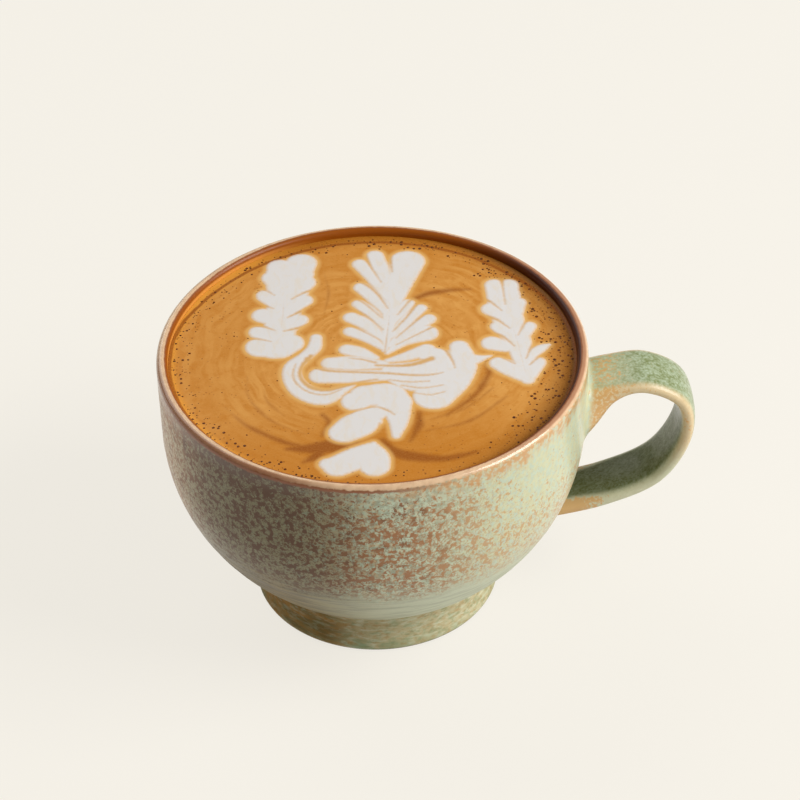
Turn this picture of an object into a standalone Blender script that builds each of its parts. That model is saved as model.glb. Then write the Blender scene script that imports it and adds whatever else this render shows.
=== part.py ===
"""A latte in its stoneware cup: the cup with its ear handle, the drink, and milk foam figures afloat in it.

Lengths are in metres. +Z is up, +X runs out along the handle, and the origin lies under the middle of
the whole thing, on the surface that it stands on. Points of the foam figures are in millimetres from
the cup's axis, as someone looking down into the cup would measure them.
"""
import math

import bmesh
import bpy
from mathutils import Vector

MM = 0.001

# The cup is turned: a foot, a waist, and a bowl that rises into an upright side
CUP_HEIGHT = 0.0682
RIM_RADIUS = 0.0500
SIDE_RADIUS = 0.0498
FOOT_RADIUS = 0.0294
FOOT_EDGE = 0.0010
WAIST_RADIUS = 0.0263
WAIST_HEIGHT = 0.0080
BOWL_SPREAD = (0.0360, 0.0153)
BOWL_TURN_HEIGHT = 0.0282
UPRIGHT_FROM = 0.0499
LIP_THICKNESS = 0.0026

# Under the foot the clay is cut back, which leaves a ring to stand on
RING_INNER_RADIUS = 0.0245
RECESS_DEPTH = 0.0045
RECESS_CORNER = 0.0012

# The hollow follows the bowl one wall thickness further in
SIDE_WALL = 0.0034
FLOOR_HEIGHT = 0.0110
FLOOR_RADIUS = 0.0160
FLOOR_SPREAD = (0.0300, 0.0122)

# The handle is a flat strap bent to an ear: its middle line as (distance from the axis, height)
HANDLE_TOP_HEIGHT = 0.0509
HANDLE_LOOP = (
    (0.0548, 0.0568),
    (0.0633, 0.0586),
    (0.0720, 0.0534),
    (0.0730, 0.0429),
    (0.0668, 0.0314),
    (0.0543, 0.0249),
    (0.0401, 0.0214),
)
HANDLE_END_HEIGHT = 0.0190
STRAP_HALF_WIDTH = 0.0074
STRAP_HALF_THICKNESS = 0.0021
TOP_ROOT = (0.0098, 0.0085)
END_ROOT = (0.0061, 0.0039)
ROOT_SHARE = 0.22
STRAP_SQUARENESS = 2.6

# The drink stands a little under the rim, and the foam floats in its top
DRINK_LEVEL = 0.0660
FOAM_DEPTH = 0.0012
GAP = 0.0003

# How finely round things are cut
TURN_STEPS = 64
BOWL_STEPS = 11
MOUTH_STEPS = 3
FOOT_STEPS = 4
LIP_STEPS = 6
STRAP_STEPS = 30
STRAP_SIDES = 14
PETAL_TIP_STEPS = 6
PETAL_ROOT_STEPS = 3
SHARP_DEGREES = 35.0

# A curve's direction is taken between two points this share of its length either side
TANGENT_STEP = 0.005
HALVINGS = 20

# Foam figures: how far each petal's root lies below its tip, the spine's two ends, and the round end
# of each petal; ends are (x, y, radius) in mm
LEFT_ROSETTA = (
    8.0,
    ((-22.0, 3.0, 3.0), (-18.6, 33.0, 3.4)),
    ((-26.5, 5.4, 3.2), (-26.5, 10.4, 2.6), (-26.0, 17.6, 2.5), (-25.2, 25.2, 2.3),
     (-23.9, 31.8, 2.4), (-21.4, 36.2, 2.4), (-15.8, 37.6, 3.5), (-15.2, 30.4, 2.6),
     (-14.8, 22.6, 2.0), (-16.0, 15.2, 2.1), (-19.2, 6.8, 3.6)),
)
CENTRE_ROSETTA = (
    15.0,
    ((3.2, 3.8, 1.2), (6.4, 30.6, 4.3)),
    ((-4.9, 9.6, 1.7), (-4.3, 15.2, 2.3), (-2.6, 20.2, 1.9), (-2.2, 26.6, 2.1),
     (-1.8, 36.2, 2.1), (1.9, 39.0, 2.2), (9.7, 36.4, 4.4), (9.2, 20.0, 2.2),
     (12.4, 17.4, 1.9), (13.8, 12.8, 2.1), (12.6, 8.2, 3.0)),
)
RIGHT_ROSETTA = (
    10.0,
    ((34.8, -10.6, 1.5), (32.2, 21.6, 3.0)),
    ((29.0, -4.6, 2.2), (27.6, 3.2, 2.5), (29.9, 9.4, 2.0), (28.4, 16.2, 2.2), (29.9, 24.2, 2.3),
     (33.6, 25.8, 2.2), (35.6, 18.6, 1.9), (37.2, 9.2, 1.9), (40.4, 1.2, 1.3), (38.0, -4.2, 2.0)),
)
ROOT_TO_TIP = 0.7

# Foam figures made of separate petals: (root x, root y, root radius, tip x, tip y, tip radius) in mm
WINGS = (
    (1.0, -0.8, 0.9, -5.8, 3.0, 1.8),
    (2.0, -2.6, 1.6, -10.2, -1.9, 2.1),
    (6.0, -5.6, 2.4, -12.4, -6.6, 2.9),
    (4.0, -1.6, 1.4, 13.2, 1.6, 2.3),
    (-12.9, 7.4, 1.4, -14.6, 2.2, 1.7),
    (-14.6, 2.2, 1.7, -18.2, -3.4, 2.0),
    (-18.2, -3.4, 2.0, -17.4, -9.6, 2.7),
    (-17.4, -9.6, 2.7, -12.4, -14.2, 2.8),
    (-12.4, -14.2, 2.8, -4.6, -8.6, 1.0),
    (4.0, -5.0, 2.4, 16.4, -4.2, 3.2),
    (6.4, -7.6, 1.8, 13.6, -11.6, 4.6),
    (13.6, -11.6, 4.6, 13.8, -15.9, 4.3),
    (13.8, -15.9, 4.3, 18.6, -7.0, 5.0),
    (18.6, -7.0, 5.0, 20.0, 1.8, 2.5),
)
TULIP = (
    (0.6, -12.4, 2.0, -4.0, -16.0, 4.0),
    (0.6, -12.4, 2.0, 4.2, -17.2, 4.2),
    (4.2, -17.2, 4.0, 4.4, -27.6, 1.2),
    (1.4, -21.0, 1.6, -7.4, -26.6, 3.6),
)
HEART = (
    (-0.8, -31.4, 0.9, -8.2, -38.6, 4.4),
    (-0.8, -31.4, 0.9, -1.4, -38.8, 4.3),
)


def clear_scene():
    for thing in list(bpy.data.objects):
        bpy.data.objects.remove(thing, do_unlink=True)


def make_material(name, colour, roughness):
    material = bpy.data.materials.new(name)
    material.use_nodes = True
    shader = material.node_tree.nodes["Principled BSDF"]
    shader.inputs["Base Color"].default_value = (*colour, 1.0)
    shader.inputs["Roughness"].default_value = roughness
    shader.inputs["Metallic"].default_value = 0.0
    material.diffuse_color = (*colour, 1.0)
    return material


def make_object(name, mesh, material):
    piece = bpy.data.objects.new(name, mesh)
    bpy.context.scene.collection.objects.link(piece)
    if material is not None:
        mesh.materials.clear()
        mesh.materials.append(material)
    return piece


def finish_mesh(shape, name):
    """Turn a bmesh into a mesh whose faces point out and whose round faces are smooth."""
    bmesh.ops.recalc_face_normals(shape, faces=shape.faces[:])
    mesh = bpy.data.meshes.new(name)
    shape.to_mesh(mesh)
    shape.free()
    mesh.shade_smooth()
    mesh.set_sharp_from_angle(angle=math.radians(SHARP_DEGREES))
    return mesh


def union(base, others, material):
    """Join closed pieces into the base object's mesh and remove the pieces that were joined."""
    group = bpy.data.collections.new(base.name + "_parts")
    bpy.context.scene.collection.children.link(group)
    for other in others:
        group.objects.link(other)
    add_boolean(base, group, "UNION")
    apply_modifiers(base, material)
    for other in others:
        bpy.data.objects.remove(other, do_unlink=True)
    bpy.data.collections.remove(group)


def add_boolean(base, group, operation):
    step = base.modifiers.new(operation.lower(), "BOOLEAN")
    step.operation = operation
    step.operand_type = "COLLECTION"
    step.collection = group
    step.solver = "EXACT"


def apply_modifiers(piece, material):
    graph = bpy.context.evaluated_depsgraph_get()
    result = bpy.data.meshes.new_from_object(piece.evaluated_get(graph))
    piece.modifiers.clear()
    result.name = piece.name
    result.materials.clear()
    result.materials.append(material)
    result.shade_smooth()
    result.set_sharp_from_angle(angle=math.radians(SHARP_DEGREES))
    piece.data = result


def bezier(points, share):
    """Point of a cubic curve, from its four (radius, height) points."""
    back = 1.0 - share
    weights = (back ** 3, 3 * back * back * share, 3 * back * share * share, share ** 3)
    return tuple(sum(w * p[axis] for w, p in zip(weights, points)) for axis in (0, 1))


def bowl_outside(share):
    return bezier(((WAIST_RADIUS, WAIST_HEIGHT), BOWL_SPREAD,
                   (SIDE_RADIUS, BOWL_TURN_HEIGHT), (SIDE_RADIUS, UPRIGHT_FROM)), share)


def bowl_inside(share):
    side = SIDE_RADIUS - SIDE_WALL
    return bezier(((FLOOR_RADIUS, FLOOR_HEIGHT), FLOOR_SPREAD,
                   (side, BOWL_TURN_HEIGHT), (side, UPRIGHT_FROM)), share)


def foot_outside(share):
    """From the foot's edge the clay narrows quickly and then runs upright into the waist."""
    radius = FOOT_RADIUS + (WAIST_RADIUS - FOOT_RADIUS) * math.sin(share * math.pi / 2)
    return radius, FOOT_EDGE + (WAIST_HEIGHT - FOOT_EDGE) * share


def lip_height():
    return CUP_HEIGHT - LIP_THICKNESS / 2


def hollow_profile():
    """The hollow, from the middle of its floor up to where the lip's rounding starts."""
    points = [(0.0, FLOOR_HEIGHT)]
    points += [bowl_inside(step / BOWL_STEPS) for step in range(BOWL_STEPS + 1)]
    side = SIDE_RADIUS - SIDE_WALL
    mouth = RIM_RADIUS - LIP_THICKNESS
    for step in range(1, MOUTH_STEPS + 1):
        share = step / MOUTH_STEPS
        radius = side + (mouth - side) * share * share
        points.append((radius, UPRIGHT_FROM + (lip_height() - UPRIGHT_FROM) * share))
    return points


def cup_profile():
    """The whole section of the wall: recess, foot, outside, lip, and back down the hollow."""
    rounding = FOOT_EDGE * (1.0 - math.sqrt(0.5))
    points = [
        (0.0, RECESS_DEPTH),
        (RING_INNER_RADIUS - RECESS_CORNER, RECESS_DEPTH),
        (RING_INNER_RADIUS, RECESS_DEPTH - RECESS_CORNER),
        (RING_INNER_RADIUS + FOOT_EDGE / 2, 0.0),
        (FOOT_RADIUS - FOOT_EDGE, 0.0),
        (FOOT_RADIUS - rounding, rounding),
    ]
    points += [foot_outside(step / FOOT_STEPS) for step in range(FOOT_STEPS)]
    points += [bowl_outside(step / BOWL_STEPS) for step in range(BOWL_STEPS + 1)]
    lip_radius = LIP_THICKNESS / 2
    for step in range(LIP_STEPS):
        angle = math.pi * step / LIP_STEPS
        points.append((RIM_RADIUS - lip_radius + lip_radius * math.cos(angle),
                       lip_height() + lip_radius * math.sin(angle)))
    points += reversed(hollow_profile())
    return points


def turned(profile, name):
    """Spin a section that starts and ends on the axis round it, like clay on a wheel."""
    shape = bmesh.new()
    corners = [shape.verts.new((radius, 0.0, height)) for radius, height in profile]
    edges = [shape.edges.new(pair) for pair in zip(corners, corners[1:])]
    bmesh.ops.spin(shape, geom=corners + edges, cent=(0, 0, 0), axis=(0, 0, 1),
                   angle=2 * math.pi, steps=TURN_STEPS)
    bmesh.ops.remove_doubles(shape, verts=shape.verts[:], dist=1e-6)
    return finish_mesh(shape, name)


def bowl_share_at(height):
    """Share of the way up the bowl's curve that lies at a height, found by halving."""
    low, high = 0.0, 1.0
    for _ in range(HALVINGS):
        middle = (low + high) / 2
        if bowl_outside(middle)[1] < height:
            low = middle
        else:
            high = middle
    return low


def middle_of_wall(height):
    """Point halfway through the wall at an outside height, and the wall's upward direction there."""
    if height >= UPRIGHT_FROM:
        here, along = Vector((SIDE_RADIUS, height)), Vector((0.0, 1.0))
    else:
        share = bowl_share_at(height)
        here = Vector(bowl_outside(share))
        ahead = Vector(bowl_outside(share + TANGENT_STEP)) - Vector(bowl_outside(share - TANGENT_STEP))
        along = ahead.normalized()
    inward = Vector((-along.y, along.x))
    return here + inward * SIDE_WALL / 2, along


def smooth_path(points, share):
    """Point at a share of the way along a smooth curve through the given points."""
    spans = len(points) - 1
    index = min(int(share * spans), spans - 1)
    local = share * spans - index
    ends = [points[0] * 2 - points[1], *points, points[-1] * 2 - points[-2]]
    before, start, end, after = ends[index:index + 4]
    return 0.5 * (2 * start + (end - before) * local
                  + (2 * before - 5 * start + 4 * end - after) * local ** 2
                  + (3 * start - before - 3 * end + after) * local ** 3)


def root_blend(share):
    """How far a section belongs to the top root and to the end root, each from 0 to 1."""
    top = max(0.0, 1.0 - share / ROOT_SHARE) ** 2
    end = max(0.0, 1.0 - (1.0 - share) / ROOT_SHARE) ** 2
    return top, end


def handle_section(share, path, top_along, end_along):
    """One closed ring of points across the strap."""
    centre = smooth_path(path, share)
    ahead = (smooth_path(path, min(1.0, share + TANGENT_STEP))
             - smooth_path(path, max(0.0, share - TANGENT_STEP)))
    across = Vector((-ahead.y, ahead.x)).normalized()
    top, end = root_blend(share)
    across = (across * (1 - top - end) + top_along * top - end_along * end).normalized()
    half_width = (STRAP_HALF_WIDTH + (TOP_ROOT[0] - STRAP_HALF_WIDTH) * top
                  + (END_ROOT[0] - STRAP_HALF_WIDTH) * end)
    half_thickness = (STRAP_HALF_THICKNESS + (TOP_ROOT[1] - STRAP_HALF_THICKNESS) * top
                      + (END_ROOT[1] - STRAP_HALF_THICKNESS) * end)
    ring = []
    for side in range(STRAP_SIDES):
        angle = 2 * math.pi * side / STRAP_SIDES
        wide = math.copysign(abs(math.cos(angle)) ** (2 / STRAP_SQUARENESS), math.cos(angle))
        thick = math.copysign(abs(math.sin(angle)) ** (2 / STRAP_SQUARENESS), math.sin(angle))
        spot = centre + across * half_thickness * thick
        ring.append((spot.x, half_width * wide, spot.y))
    return ring


def handle_mesh():
    """Loft the strap's rings from the middle of the wall, round the ear and back into the wall."""
    top, top_along = middle_of_wall(HANDLE_TOP_HEIGHT)
    end, end_along = middle_of_wall(HANDLE_END_HEIGHT)
    path = [top, *(Vector(point) for point in HANDLE_LOOP), end]
    shape = bmesh.new()
    rings = []
    for step in range(STRAP_STEPS + 1):
        ring = handle_section(step / STRAP_STEPS, path, top_along, end_along)
        rings.append([shape.verts.new(point) for point in ring])
    for ring, following in zip(rings, rings[1:]):
        for side in range(STRAP_SIDES):
            beside = (side + 1) % STRAP_SIDES
            shape.faces.new((ring[side], ring[beside], following[beside], following[side]))
    shape.faces.new(rings[0])
    shape.faces.new(reversed(rings[-1]))
    return finish_mesh(shape, "handle")


def make_cup(material):
    cup = make_object("cup", turned(cup_profile(), "cup"), material)
    handle = make_object("handle", handle_mesh(), material)
    union(cup, [handle], material)
    return cup


def drink_profile():
    """The hollow's shape a hair further in, closed by the level top."""
    inner = hollow_profile()
    points = [(0.0, FLOOR_HEIGHT + GAP)]
    for before, here, after in zip(inner, inner[1:], inner[2:]):
        along = (Vector(after) - Vector(before)).normalized()
        inward = Vector((-along.y, along.x))
        spot = Vector(here) + inward * GAP
        if spot.y < DRINK_LEVEL - GAP:
            points.append(tuple(spot))
    upper = inner[-1]
    lower = inner[-2]
    share = (DRINK_LEVEL - lower[1]) / (upper[1] - lower[1])
    edge = lower[0] + (upper[0] - lower[0]) * share - GAP
    points += [(edge, DRINK_LEVEL), (0.0, DRINK_LEVEL)]
    return points


def petal_outline(root, root_radius, tip, tip_radius):
    """Outline of a drop of foam: two circles and the straight sides that touch both."""
    root, tip = Vector(root), Vector(tip)
    along = tip - root
    heading = math.atan2(along.y, along.x)
    lean = math.acos((root_radius - tip_radius) / along.length)
    outline = []
    for centre, radius, first, last, steps in (
            (tip, tip_radius, -lean, lean, PETAL_TIP_STEPS),
            (root, root_radius, lean, 2 * math.pi - lean, PETAL_ROOT_STEPS)):
        for step in range(steps + 1):
            angle = heading + first + (last - first) * step / steps
            outline.append(centre + radius * Vector((math.cos(angle), math.sin(angle))))
    return outline


def prism(name, outline, low, high):
    """Extrude a flat outline between two heights."""
    shape = bmesh.new()
    base = shape.faces.new([shape.verts.new((spot.x * MM, spot.y * MM, low)) for spot in outline])
    raised = bmesh.ops.extrude_face_region(shape, geom=[base])["geom"]
    lifted = [item for item in raised if isinstance(item, bmesh.types.BMVert)]
    bmesh.ops.translate(shape, verts=lifted, vec=(0.0, 0.0, high - low))
    return make_object(name, finish_mesh(shape, name), None)


def rosetta_petals(droop, spine, tips):
    """Each petal grows out of the spine a little below its own tip."""
    low, high = (Vector(end[:2]) for end in spine)
    petals = [(low.x, low.y, spine[0][2], high.x, high.y, spine[1][2])]
    for x, y, radius in tips:
        share = (y - droop - low.y) / (high.y - low.y)
        root = low.lerp(high, min(1.0, max(0.0, share)))
        petals.append((root.x, root.y, radius * ROOT_TO_TIP, x, y, radius))
    return petals


def foam_shape(name, petals, grow, low, high, material):
    """Union of a figure's petals, each grown by the same margin."""
    pieces = []
    for index, (root_x, root_y, root_radius, tip_x, tip_y, tip_radius) in enumerate(petals):
        outline = petal_outline((root_x, root_y), root_radius + grow, (tip_x, tip_y), tip_radius + grow)
        pieces.append(prism("%s_%d" % (name, index), outline, low, high))
    base = pieces[0]
    base.name = name
    union(base, pieces[1:], material)
    return base


def make_drink(figures, coffee, milk):
    """The drink with a shallow bed for each figure, and the figures of milk foam in their beds."""
    drink = make_object("drink", turned(drink_profile(), "drink"), coffee)
    foam = []
    beds = bpy.data.collections.new("beds")
    bpy.context.scene.collection.children.link(beds)
    for name, petals in figures.items():
        foam.append(foam_shape(name, petals, 0.0, DRINK_LEVEL - FOAM_DEPTH, DRINK_LEVEL, milk))
        bed = foam_shape(name + "_bed", petals, GAP / MM, DRINK_LEVEL - FOAM_DEPTH - GAP,
                         DRINK_LEVEL + FOAM_DEPTH, coffee)
        beds.objects.link(bed)
    add_boolean(drink, beds, "DIFFERENCE")
    apply_modifiers(drink, coffee)
    for bed in list(beds.objects):
        bpy.data.objects.remove(bed, do_unlink=True)
    bpy.data.collections.remove(beds)
    return [drink, *foam]


def build():
    clear_scene()
    glaze = make_material("reactive_glaze", (0.42, 0.47, 0.37), 0.28)
    coffee = make_material("crema", (0.53, 0.25, 0.08), 0.4)
    milk = make_material("milk_foam", (0.66, 0.62, 0.60), 0.5)
    figures = {
        "foam_rosetta_left": rosetta_petals(*LEFT_ROSETTA),
        "foam_rosetta_centre": rosetta_petals(*CENTRE_ROSETTA),
        "foam_rosetta_right": rosetta_petals(*RIGHT_ROSETTA),
        "foam_wings": WINGS,
        "foam_tulip": TULIP,
        "foam_heart": HEART,
    }
    cup = make_cup(glaze)
    reach = max(corner.co.x for corner in cup.data.vertices)
    axis = bpy.data.objects.new("cup_axis", None)
    bpy.context.scene.collection.objects.link(axis)
    axis.location.x = (RIM_RADIUS - reach) / 2
    for piece in [cup, *make_drink(figures, coffee, milk)]:
        piece.parent = axis
    print("cup axis at x = %.5f, handle reaches %.5f" % (axis.location.x, reach))


build()
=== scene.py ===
# %% [markdown]
# # A latte in its stoneware cup
#
# This lesson dresses a finished CAD model: a cup with an ear handle, a drink filled almost to the rim, and
# six figures of milk foam in its crema. The CAD solids stay where they are. Each one is replaced here by a
# finer mesh of the same form, and every surface gets a material made only of nodes.

# %% Load the fixed frame
import math
import random
from functools import reduce
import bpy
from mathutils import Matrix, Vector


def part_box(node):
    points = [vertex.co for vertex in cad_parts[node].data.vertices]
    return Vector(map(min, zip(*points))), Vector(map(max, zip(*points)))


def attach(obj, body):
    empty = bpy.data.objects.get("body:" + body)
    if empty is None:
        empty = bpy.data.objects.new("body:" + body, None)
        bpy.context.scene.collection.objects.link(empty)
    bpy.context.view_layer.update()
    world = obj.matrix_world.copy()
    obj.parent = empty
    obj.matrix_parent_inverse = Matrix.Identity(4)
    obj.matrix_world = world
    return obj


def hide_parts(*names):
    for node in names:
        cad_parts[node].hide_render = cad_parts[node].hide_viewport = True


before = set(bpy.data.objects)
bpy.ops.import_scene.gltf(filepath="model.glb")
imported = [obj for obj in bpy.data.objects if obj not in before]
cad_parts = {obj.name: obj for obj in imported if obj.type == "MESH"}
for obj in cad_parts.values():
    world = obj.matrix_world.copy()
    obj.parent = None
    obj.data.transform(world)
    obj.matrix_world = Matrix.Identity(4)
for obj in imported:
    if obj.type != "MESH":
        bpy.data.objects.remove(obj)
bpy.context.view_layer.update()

from types import SimpleNamespace

import bmesh
import bpy
import numpy as np
from mathutils import Matrix, Vector

FOAM_NODES = [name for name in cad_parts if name.startswith("foam_")]
print("nodes to dress:", sorted(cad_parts))

# %% [markdown]
# ## Sizes
#
# The cup was turned on a wheel, so nearly everything follows from its axis, its rim and its height. Those
# come from the CAD boxes. The other sizes repeat the ones the solids were made with, in metres, and
# anything drawn on the drink is given in millimetres from the cup's axis, as seen from above.

# %% Driving sizes
MM = 0.001
CUP_LOW, CUP_HIGH = (Vector(corner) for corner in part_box("cup"))
CUP_HEIGHT = CUP_HIGH.z
RIM_RADIUS = (CUP_HIGH.y - CUP_LOW.y) / 2
AXIS_X = CUP_LOW.x + RIM_RADIUS
DRINK_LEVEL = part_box("drink")[1][2]
FOAM_DEPTH = DRINK_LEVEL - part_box(FOAM_NODES[0])[0][2]

SIDE_RADIUS = 0.0498
FOOT_RADIUS = 0.0294
FOOT_EDGE = 0.0010
WAIST_RADIUS = 0.0263
WAIST_HEIGHT = 0.0080
BOWL_SPREAD = (0.0360, 0.0153)
BOWL_TURN_HEIGHT = 0.0282
UPRIGHT_FROM = 0.0499
LIP_THICKNESS = 0.0026
RING_INNER_RADIUS = 0.0245
RECESS_DEPTH = 0.0045
RECESS_CORNER = 0.0012
SIDE_WALL = 0.0034
FLOOR_HEIGHT = 0.0110
FLOOR_RADIUS = 0.0160
FLOOR_SPREAD = (0.0300, 0.0122)
print("cup axis x = %.4f, rim radius %.4f, drink level %.4f" % (AXIS_X, RIM_RADIUS, DRINK_LEVEL))

# %% [markdown]
# ## The camera
#
# The photograph looks down into the cup with a long lens. A camera fitted to the cup's outline gives the
# angle, the distance and a roll of just under a degree. The camera is set up from its three own
# directions, right, up and back, so that it can be moved aside without turning.

# %% The camera at the photograph's angle
ELEVATION = math.radians(38.665)
ROLL = math.radians(0.916)
TURN = math.radians(-1.8)
CAMERA_DISTANCE = 0.7115
CAMERA_ASIDE = 0.00552
CAMERA_ABOVE = 0.04135
LENS = 130.4
SENSOR_WIDTH = 36.0


def make_camera():
    level_right = Vector((1.0, 0.0, 0.0))
    level_up = Vector((0.0, math.sin(ELEVATION), math.cos(ELEVATION)))
    back = Vector((0.0, -math.cos(ELEVATION), math.sin(ELEVATION)))
    right = level_right * math.cos(ROLL) - level_up * math.sin(ROLL)
    up = level_right * math.sin(ROLL) + level_up * math.cos(ROLL)
    spot = right * CAMERA_ASIDE + up * CAMERA_ABOVE + back * CAMERA_DISTANCE
    place = Matrix((right, up, back)).transposed().to_4x4()
    place.translation = spot
    data = bpy.data.cameras.new("camera")
    data.lens = LENS
    data.sensor_width = SENSOR_WIDTH
    camera = bpy.data.objects.new("camera", data)
    bpy.context.scene.collection.objects.link(camera)
    camera.matrix_world = Matrix.Translation((AXIS_X, 0.0, 0.0)) @ Matrix.Rotation(TURN, 4, "Z") @ place
    bpy.context.scene.camera = camera
    return camera


camera = make_camera()
print("camera at", [round(value, 3) for value in camera.matrix_world.translation])

# %% [markdown]
# ## Light and floor
#
# The photograph was taken in soft daylight from the right and from behind: the front of the belly is the
# darkest part, and the left flank catches a little light again. A large lamp on the right and a larger one
# behind give that light, and a pale world fills the shadows. The view transform is Standard, so that a
# colour that is set here is the colour that comes out.

# %% Light
bpy.context.scene.view_settings.view_transform = "Standard"


def linear(red, green, blue):
    """A colour as a screen shows it (0 to 255) as the linear values that nodes work with."""
    shares = [value / 255.0 for value in (red, green, blue)]
    return tuple(s / 12.92 if s <= 0.04045 else ((s + 0.055) / 1.055) ** 2.4 for s in shares)


def area_light(name, azimuth, elevation, distance, size, power, colour):
    """A square lamp that faces the cup from a compass angle (0 along +X) and a height angle."""
    data = bpy.data.lights.new(name, "AREA")
    data.size = size
    data.energy = power
    data.color = colour
    lamp = bpy.data.objects.new(name, data)
    bpy.context.scene.collection.objects.link(lamp)
    flat, rise = math.radians(azimuth), math.radians(elevation)
    towards = Vector((math.cos(flat) * math.cos(rise), math.sin(flat) * math.cos(rise), math.sin(rise)))
    centre = Vector((AXIS_X, 0.0, CUP_HEIGHT / 2))
    lamp.location = centre + towards * distance
    lamp.rotation_euler = towards.to_track_quat("Z", "Y").to_euler()


def make_world(colour, strength):
    world = bpy.data.worlds.new("studio")
    world.use_nodes = True
    backdrop = world.node_tree.nodes["Background"]
    backdrop.inputs["Color"].default_value = (*colour, 1.0)
    backdrop.inputs["Strength"].default_value = strength
    bpy.context.scene.world = world


make_world((1.0, 0.985, 0.955), 0.20)
area_light("window", -14.0, 38.0, 0.95, 0.55, 10.0, (1.0, 0.98, 0.94))
area_light("window_behind", 128.0, 42.0, 1.1, 0.90, 5.0, (1.0, 0.985, 0.95))

# %% [markdown]
# ## A short way to write node trees
#
# Procedural materials are long chains of small nodes. This helper holds a node tree and gives each common
# node one method, which returns the output socket. A number, a colour or another socket can be handed to
# any input, so that a material reads almost like arithmetic.

# %% Node helper


class Wiring:
    def __init__(self, tree):
        self.tree = tree

    def put(self, socket, value):
        if isinstance(value, bpy.types.NodeSocket):
            self.tree.links.new(value, socket)
        elif hasattr(socket.default_value, "__len__") and len(value) < len(socket.default_value):
            socket.default_value = (*value, 1.0)
        else:
            socket.default_value = value

    def node(self, kind, inputs=(), **settings):
        made = self.tree.nodes.new(kind)
        for name, value in settings.items():
            setattr(made, name, value)
        for name, value in dict(inputs).items():
            self.put(made.inputs[name], value)
        return made

    def maths(self, operation, first, second=0.0):
        return self.node("ShaderNodeMath", {0: first, 1: second}, operation=operation).outputs[0]

    def plus(self, *values):
        return reduce(lambda first, second: self.maths("ADD", first, second), values)

    def minus(self, first, second):
        return self.maths("SUBTRACT", first, second)

    def times(self, *values):
        return reduce(lambda first, second: self.maths("MULTIPLY", first, second), values)

    def vector_maths(self, operation, first, second=(0.0, 0.0, 0.0)):
        return self.node("ShaderNodeVectorMath", {0: first, 1: second}, operation=operation).outputs[0]

    def stretch(self, vector, across, up):
        """The same place measured with other units: across for x and y, up for z."""
        return self.vector_maths("MULTIPLY", vector, (across, across, up))

    def length(self, vector):
        return self.node("ShaderNodeVectorMath", {0: vector}, operation="LENGTH").outputs["Value"]

    def noise(self, vector, scale, detail=2.0, roughness=0.5, distortion=0.0):
        made = self.node("ShaderNodeTexNoise", {"Vector": vector, "Scale": scale, "Detail": detail,
                                                "Roughness": roughness, "Distortion": distortion})
        return made.outputs["Fac"]

    def between(self, value, low, high, out_low=0.0, out_high=1.0):
        """Smooth step: out_low below low, out_high above high."""
        made = self.node("ShaderNodeMapRange", {"Value": value, "From Min": low, "From Max": high,
                                                "To Min": out_low, "To Max": out_high},
                         interpolation_type="SMOOTHSTEP")
        return made.outputs["Result"]

    def mix(self, share, first, second):
        made = self.node("ShaderNodeMix", data_type="RGBA")
        for index, value in ((0, share), (6, first), (7, second)):
            self.put(made.inputs[index], value)
        return made.outputs[2]

    def paint(self, colour, tone, *shares):
        """Lay a tone over a colour; the shares are multiplied together."""
        return self.mix(self.times(*shares), colour, tone)

    def bump(self, height, strength, distance):
        made = self.node("ShaderNodeBump", {"Height": height, "Strength": strength, "Distance": distance})
        return made.outputs["Normal"]

    def attribute(self, name):
        return self.node("ShaderNodeAttribute", attribute_name=name).outputs["Fac"]

    def millimetres(self):
        """Place on the piece in millimetres from the cup's axis."""
        place = self.node("ShaderNodeTexCoord").outputs["Object"]
        made = self.node("ShaderNodeVectorMath", {0: place}, operation="SCALE")
        made.inputs["Scale"].default_value = 1.0 / MM
        return made.outputs[0]

    def axes(self, place):
        return self.node("ShaderNodeSeparateXYZ", {0: place}).outputs

    def group(self, shared, **inputs):
        made = self.node("ShaderNodeGroup", node_tree=shared)
        for name, value in inputs.items():
            self.put(made.inputs[name], value)
        return made.outputs


def new_group(name, inputs, outputs):
    """A node group with named sockets: {name: ("Float", start value)}."""
    shared = bpy.data.node_groups.new(name, "ShaderNodeTree")
    for title, (kind, start) in inputs.items():
        socket = shared.interface.new_socket(title, in_out="INPUT", socket_type="NodeSocket" + kind)
        if start is not None:
            socket.default_value = start
    for title, kind in outputs.items():
        shared.interface.new_socket(title, in_out="OUTPUT", socket_type="NodeSocket" + kind)
    wiring = Wiring(shared)
    return shared, wiring, wiring.node("NodeGroupInput").outputs, wiring.node("NodeGroupOutput").inputs


def new_material(name, **settings):
    """A material with one Principled shader; the settings are values for its own sockets."""
    material = bpy.data.materials.new(name)
    material.use_nodes = True
    shader = material.node_tree.nodes["Principled BSDF"]
    for title, value in settings.items():
        shader.inputs[title.replace("_", " ")].default_value = value
    return material, Wiring(material.node_tree), shader.inputs


# %% [markdown]
# ## Two masks, made once
#
# Fired glaze, bubble film and even the floor have soft blotches with ragged edges, at different scales. The
# group "ragged_patches" makes such a mask from fractal noise: how much is covered moves with one input, so a
# material can let its patches thin out towards one side. The second group, "swirl_bands", stretches noise
# round the cup's axis, as the pour draws out the crema.

# %% Shared node groups


def make_ragged_patches():
    shared, w, given, out = new_group(
        "ragged_patches",
        {"Place": ("Vector", None), "Scale": ("Float", 1.0), "Cover": ("Float", 0.5),
         "Softness": ("Float", 0.03)},
        {"Mask": "Float"})
    blotches = w.noise(given["Place"], given["Scale"], 4.0, 0.62, 0.25)
    level = w.minus(1.0, given["Cover"])
    low, high = w.minus(level, given["Softness"]), w.plus(level, given["Softness"])
    w.put(out["Mask"], w.between(blotches, low, high))
    return shared


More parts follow.
